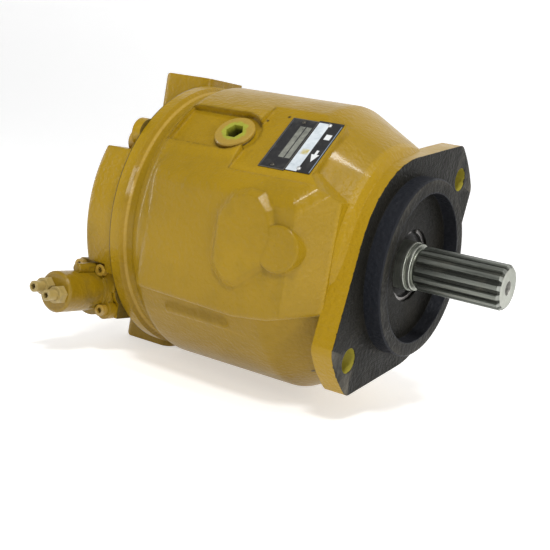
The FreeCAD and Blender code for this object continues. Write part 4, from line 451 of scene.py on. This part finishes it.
# ---------------------------------------------------------------- bare metal, rubber
def metal(name, base, rough, scale=300.0, bump=0.15, streak=(1.0, 1.0, 1.0), stain=(0.25, 0.22, 0.18)):
    """Machined metal: tool streaks, light staining and softened edges."""
    m = Mat(name)
    lines = m.noise(scale, 4, 0.6, 0.0, m.scaled(streak))
    cloud = m.noise(scale * 0.1, 3, 0.6)
    colour = m.mix(m.remap(lines, 0.3, 0.7, 0.0, 1.0), shade(base, 0.8), shade(base, 1.08))
    colour = m.mix(m.remap(cloud, 0.55, 0.8, 0.0, 0.5), colour, stain)
    # painted highlight: convex edges lightened towards a brighter copy of the metal colour
    colour = m.mix(m.remap(m.edge(), 0.56, 0.66, 0.0, 0.5), colour, shade(base, 1.45))
    m.set(color=colour, rough=m.remap(lines, 0.3, 0.7, rough * 0.75, rough * 1.35), metal=1.0,
          normal=m.bump(lines, bump, 0.0003, m.soft_edges(0.0003)))
    return m.mat


def shaft_metal():
    m = Mat("shaft_metal")
    x, y, z = m.axes()
    r = m.radius()
    lines = m.noise(520, 4, 0.6, 0.0, m.scaled((0.06, 1.0, 1.0)))
    turned = m.noise(700, 3, 0.6, 0.0, m.scaled((1.0, 0.05, 0.05)))
    cloud = m.noise(45, 4, 0.6)
    splined = m.both(m.above(x, 0.0102, 0.0003), m.flip(m.above(x, 0.0749, 0.0002)))
    colour = m.mix(m.remap(lines, 0.3, 0.7, 0.0, 1.0), (0.15, 0.16, 0.142), (0.27, 0.285, 0.25))
    bright = m.mix(m.remap(turned, 0.3, 0.7, 0.0, 1.0), (0.3, 0.32, 0.27), (0.5, 0.51, 0.45))
    colour = m.mix(splined, bright, colour)
    # painted shade: the roots between the spline teeth darkened; the same mask also adds roughness there
    spline_gap_shade = m.both(splined, m.remap(r, 0.0151, 0.0138, 0.0, 1.0))
    colour = m.mix(spline_gap_shade, colour, (0.055, 0.058, 0.05))
    nose = m.both(m.above(x, 0.0731, 0.0002), m.above(r, 0.0138, 0.0003))
    colour = m.mix(m.math("MULTIPLY", nose, 0.7), colour, (0.34, 0.35, 0.32))
    colour = m.mix(m.remap(cloud, 0.55, 0.8, 0.0, 0.4), colour, (0.2, 0.19, 0.15))
    # painted highlight: the centre-drill hole in the shaft end lightened
    centre = m.both(m.above(x, 0.062, 0.0005), m.flip(m.above(r, 0.0052, 0.0003)))
    colour = m.mix(m.math("MULTIPLY", centre, 0.6), colour, (0.55, 0.54, 0.5))
    rough = m.math("ADD", m.remap(lines, 0.3, 0.7, 0.34, 0.5), m.math("MULTIPLY", spline_gap_shade, 0.2))
    height = m.math("ADD", m.math("MULTIPLY", lines, 0.6), m.math("MULTIPLY", turned, 0.3))
    return m.set(color=colour, rough=rough, metal=0.95,
                 normal=m.bump(height, 0.22, 0.0003, m.soft_edges(0.0004)))


def rubber():
    m = Mat("rubber")
    grain = m.noise(600, 4, 0.6)
    cloud = m.noise(50, 3, 0.6)
    colour = m.mix(m.remap(cloud, 0.3, 0.7, 0.0, 1.0), (0.012, 0.012, 0.012), (0.035, 0.034, 0.032))
    return m.set(color=colour, rough=m.remap(grain, 0.3, 0.7, 0.45, 0.65), normal=m.bump(grain, 0.2, 0.0003))


assign(shaft_metal(), "drive_shaft")
assign(rubber(), "shaft_seal", "port_plate_seal", "valve_seals")
assign(metal("seal_washer", (0.3, 0.28, 0.22), 0.42), "drain_plug_seals")
assign(metal("bearing_metal", (0.62, 0.62, 0.62), 0.16, 420.0, 0.08, (1.0, 0.06, 0.06)),
       "front_bearing_outer", "rear_bearing_outer", "front_bearing_inner", "rear_bearing_inner",
       "front_bearing_rollers", "rear_bearing_rollers")
assign(metal("bright_metal", (0.66, 0.66, 0.65), 0.14, 500.0, 0.06, (1.0, 0.08, 0.08)), "flow_spool",
       "pressure_spool", "spool_end_plugs", *["piston_%d" % i for i in range(1, 10)])
assign(metal("ground_metal", (0.46, 0.46, 0.45), 0.3, 320.0, 0.16, (1.0, 0.1, 0.1)), "cylinder_barrel",
       "retainer_plate", "ball_guide", "barrel_spring_seats", "hold_down_pins", "control_piston",
       "bias_piston", "piston_guides")
assign(metal("spring_metal", (0.22, 0.21, 0.2), 0.36, 500.0, 0.2, stain=(0.1, 0.08, 0.06)), "barrel_spring",
       "bias_spring", "pressure_spring", "flow_spring", "seal_snap_ring")
assign(metal("cast_metal", (0.26, 0.255, 0.245), 0.48, 160.0, 0.35), "swashplate")
assign(metal("bronze_metal", (0.62, 0.4, 0.17), 0.3, 340.0, 0.14, (1.0, 0.1, 0.1), (0.3, 0.17, 0.07)),
       "valve_plate", "cradle_bearings", *["slipper_%d" % i for i in range(1, 10)])

# ---------------------------------------------------------------- stage, light, camera
floor_z = cad_box[0][2]
bm = bmesh.new()
steps = 16
profile = [(-3.0, 0.0), (1.2, 0.0)]
for i in range(steps + 1):
    a = math.pi / 2 * i / steps
    profile.append((1.2 + 0.6 * math.sin(a), 0.6 - 0.6 * math.cos(a)))
profile.append((1.8, 3.2))
rows = []
for y, z in profile:
    rows.append([bm.verts.new((x, y, floor_z + z)) for x in (-4.0, 4.0)])
for a, b in zip(rows, rows[1:]):
    bm.faces.new((a[0], a[1], b[1], b[0]))
mesh = bpy.data.meshes.new("floor")
bm.to_mesh(mesh)
for poly in mesh.polygons:
    poly.use_smooth = True
floor = bpy.data.objects.new("floor", mesh)
bpy.context.scene.collection.objects.link(floor)
m = Mat("floor_white")
m.set(color=(0.8, 0.8, 0.8), rough=0.75)
m.bsdf.inputs["Emission Color"].default_value = (1.0, 1.0, 1.0, 1.0)
m.bsdf.inputs["Emission Strength"].default_value = 0.5
floor.data.materials.append(m.mat)


def area(name, pos, target, size, power, colour=(1, 1, 1)):
    light = bpy.data.lights.new(name, "AREA")
    light.shape = "RECTANGLE"
    light.size, light.size_y = size
    light.energy = power
    light.color = colour
    obj = bpy.data.objects.new(name, light)
    obj.location = pos
    obj.rotation_euler = (Vector(target) - Vector(pos)).to_track_quat("-Z", "Y").to_euler()
    bpy.context.scene.collection.objects.link(obj)
    return obj


middle = (-0.08, 0.0, 0.0)
WORLD_STRENGTH = 0.3
SENSOR_WIDTH = 36.0
FOCAL_OVER_WIDTH = 1065.6 / 550.0
area("key", (0.35, -0.95, 1.45), middle, (0.3, 0.3), 14)
area("glint", (0.2, -0.2, 1.3), middle, (0.16, 0.16), 4)
area("left", (-1.3, -0.45, 0.2), middle, (0.1, 0.8), 4)
area("side", (1.25, -0.6, 0.35), middle, (0.24, 0.4), 5)
world = bpy.data.worlds.new("studio")
world.use_nodes = True
world.node_tree.nodes["Background"].inputs[0].default_value = (1, 1, 1, 1)
world.node_tree.nodes["Background"].inputs[1].default_value = WORLD_STRENGTH
bpy.context.scene.world = world
bpy.context.scene.view_settings.view_transform = "Standard"

cam = bpy.data.cameras.new("camera")
cam.sensor_width = SENSOR_WIDTH
cam.lens = FOCAL_OVER_WIDTH * SENSOR_WIDTH
cam_obj = bpy.data.objects.new("camera", cam)
bpy.context.scene.collection.objects.link(cam_obj)
right = Vector((0.8296, 0.5323, 0.1683)).normalized()
back = Vector((0.5156, -0.8462, 0.1347)).normalized()
up = back.cross(right).normalized()
right = up.cross(back).normalized()
cam_obj.matrix_world = Matrix((
    (right.x, up.x, back.x, 0.3113),
    (right.y, up.y, back.y, -0.6855),
    (right.z, up.z, back.z, 0.0785),
    (0, 0, 0, 1),
))
bpy.context.scene.camera = cam_obj
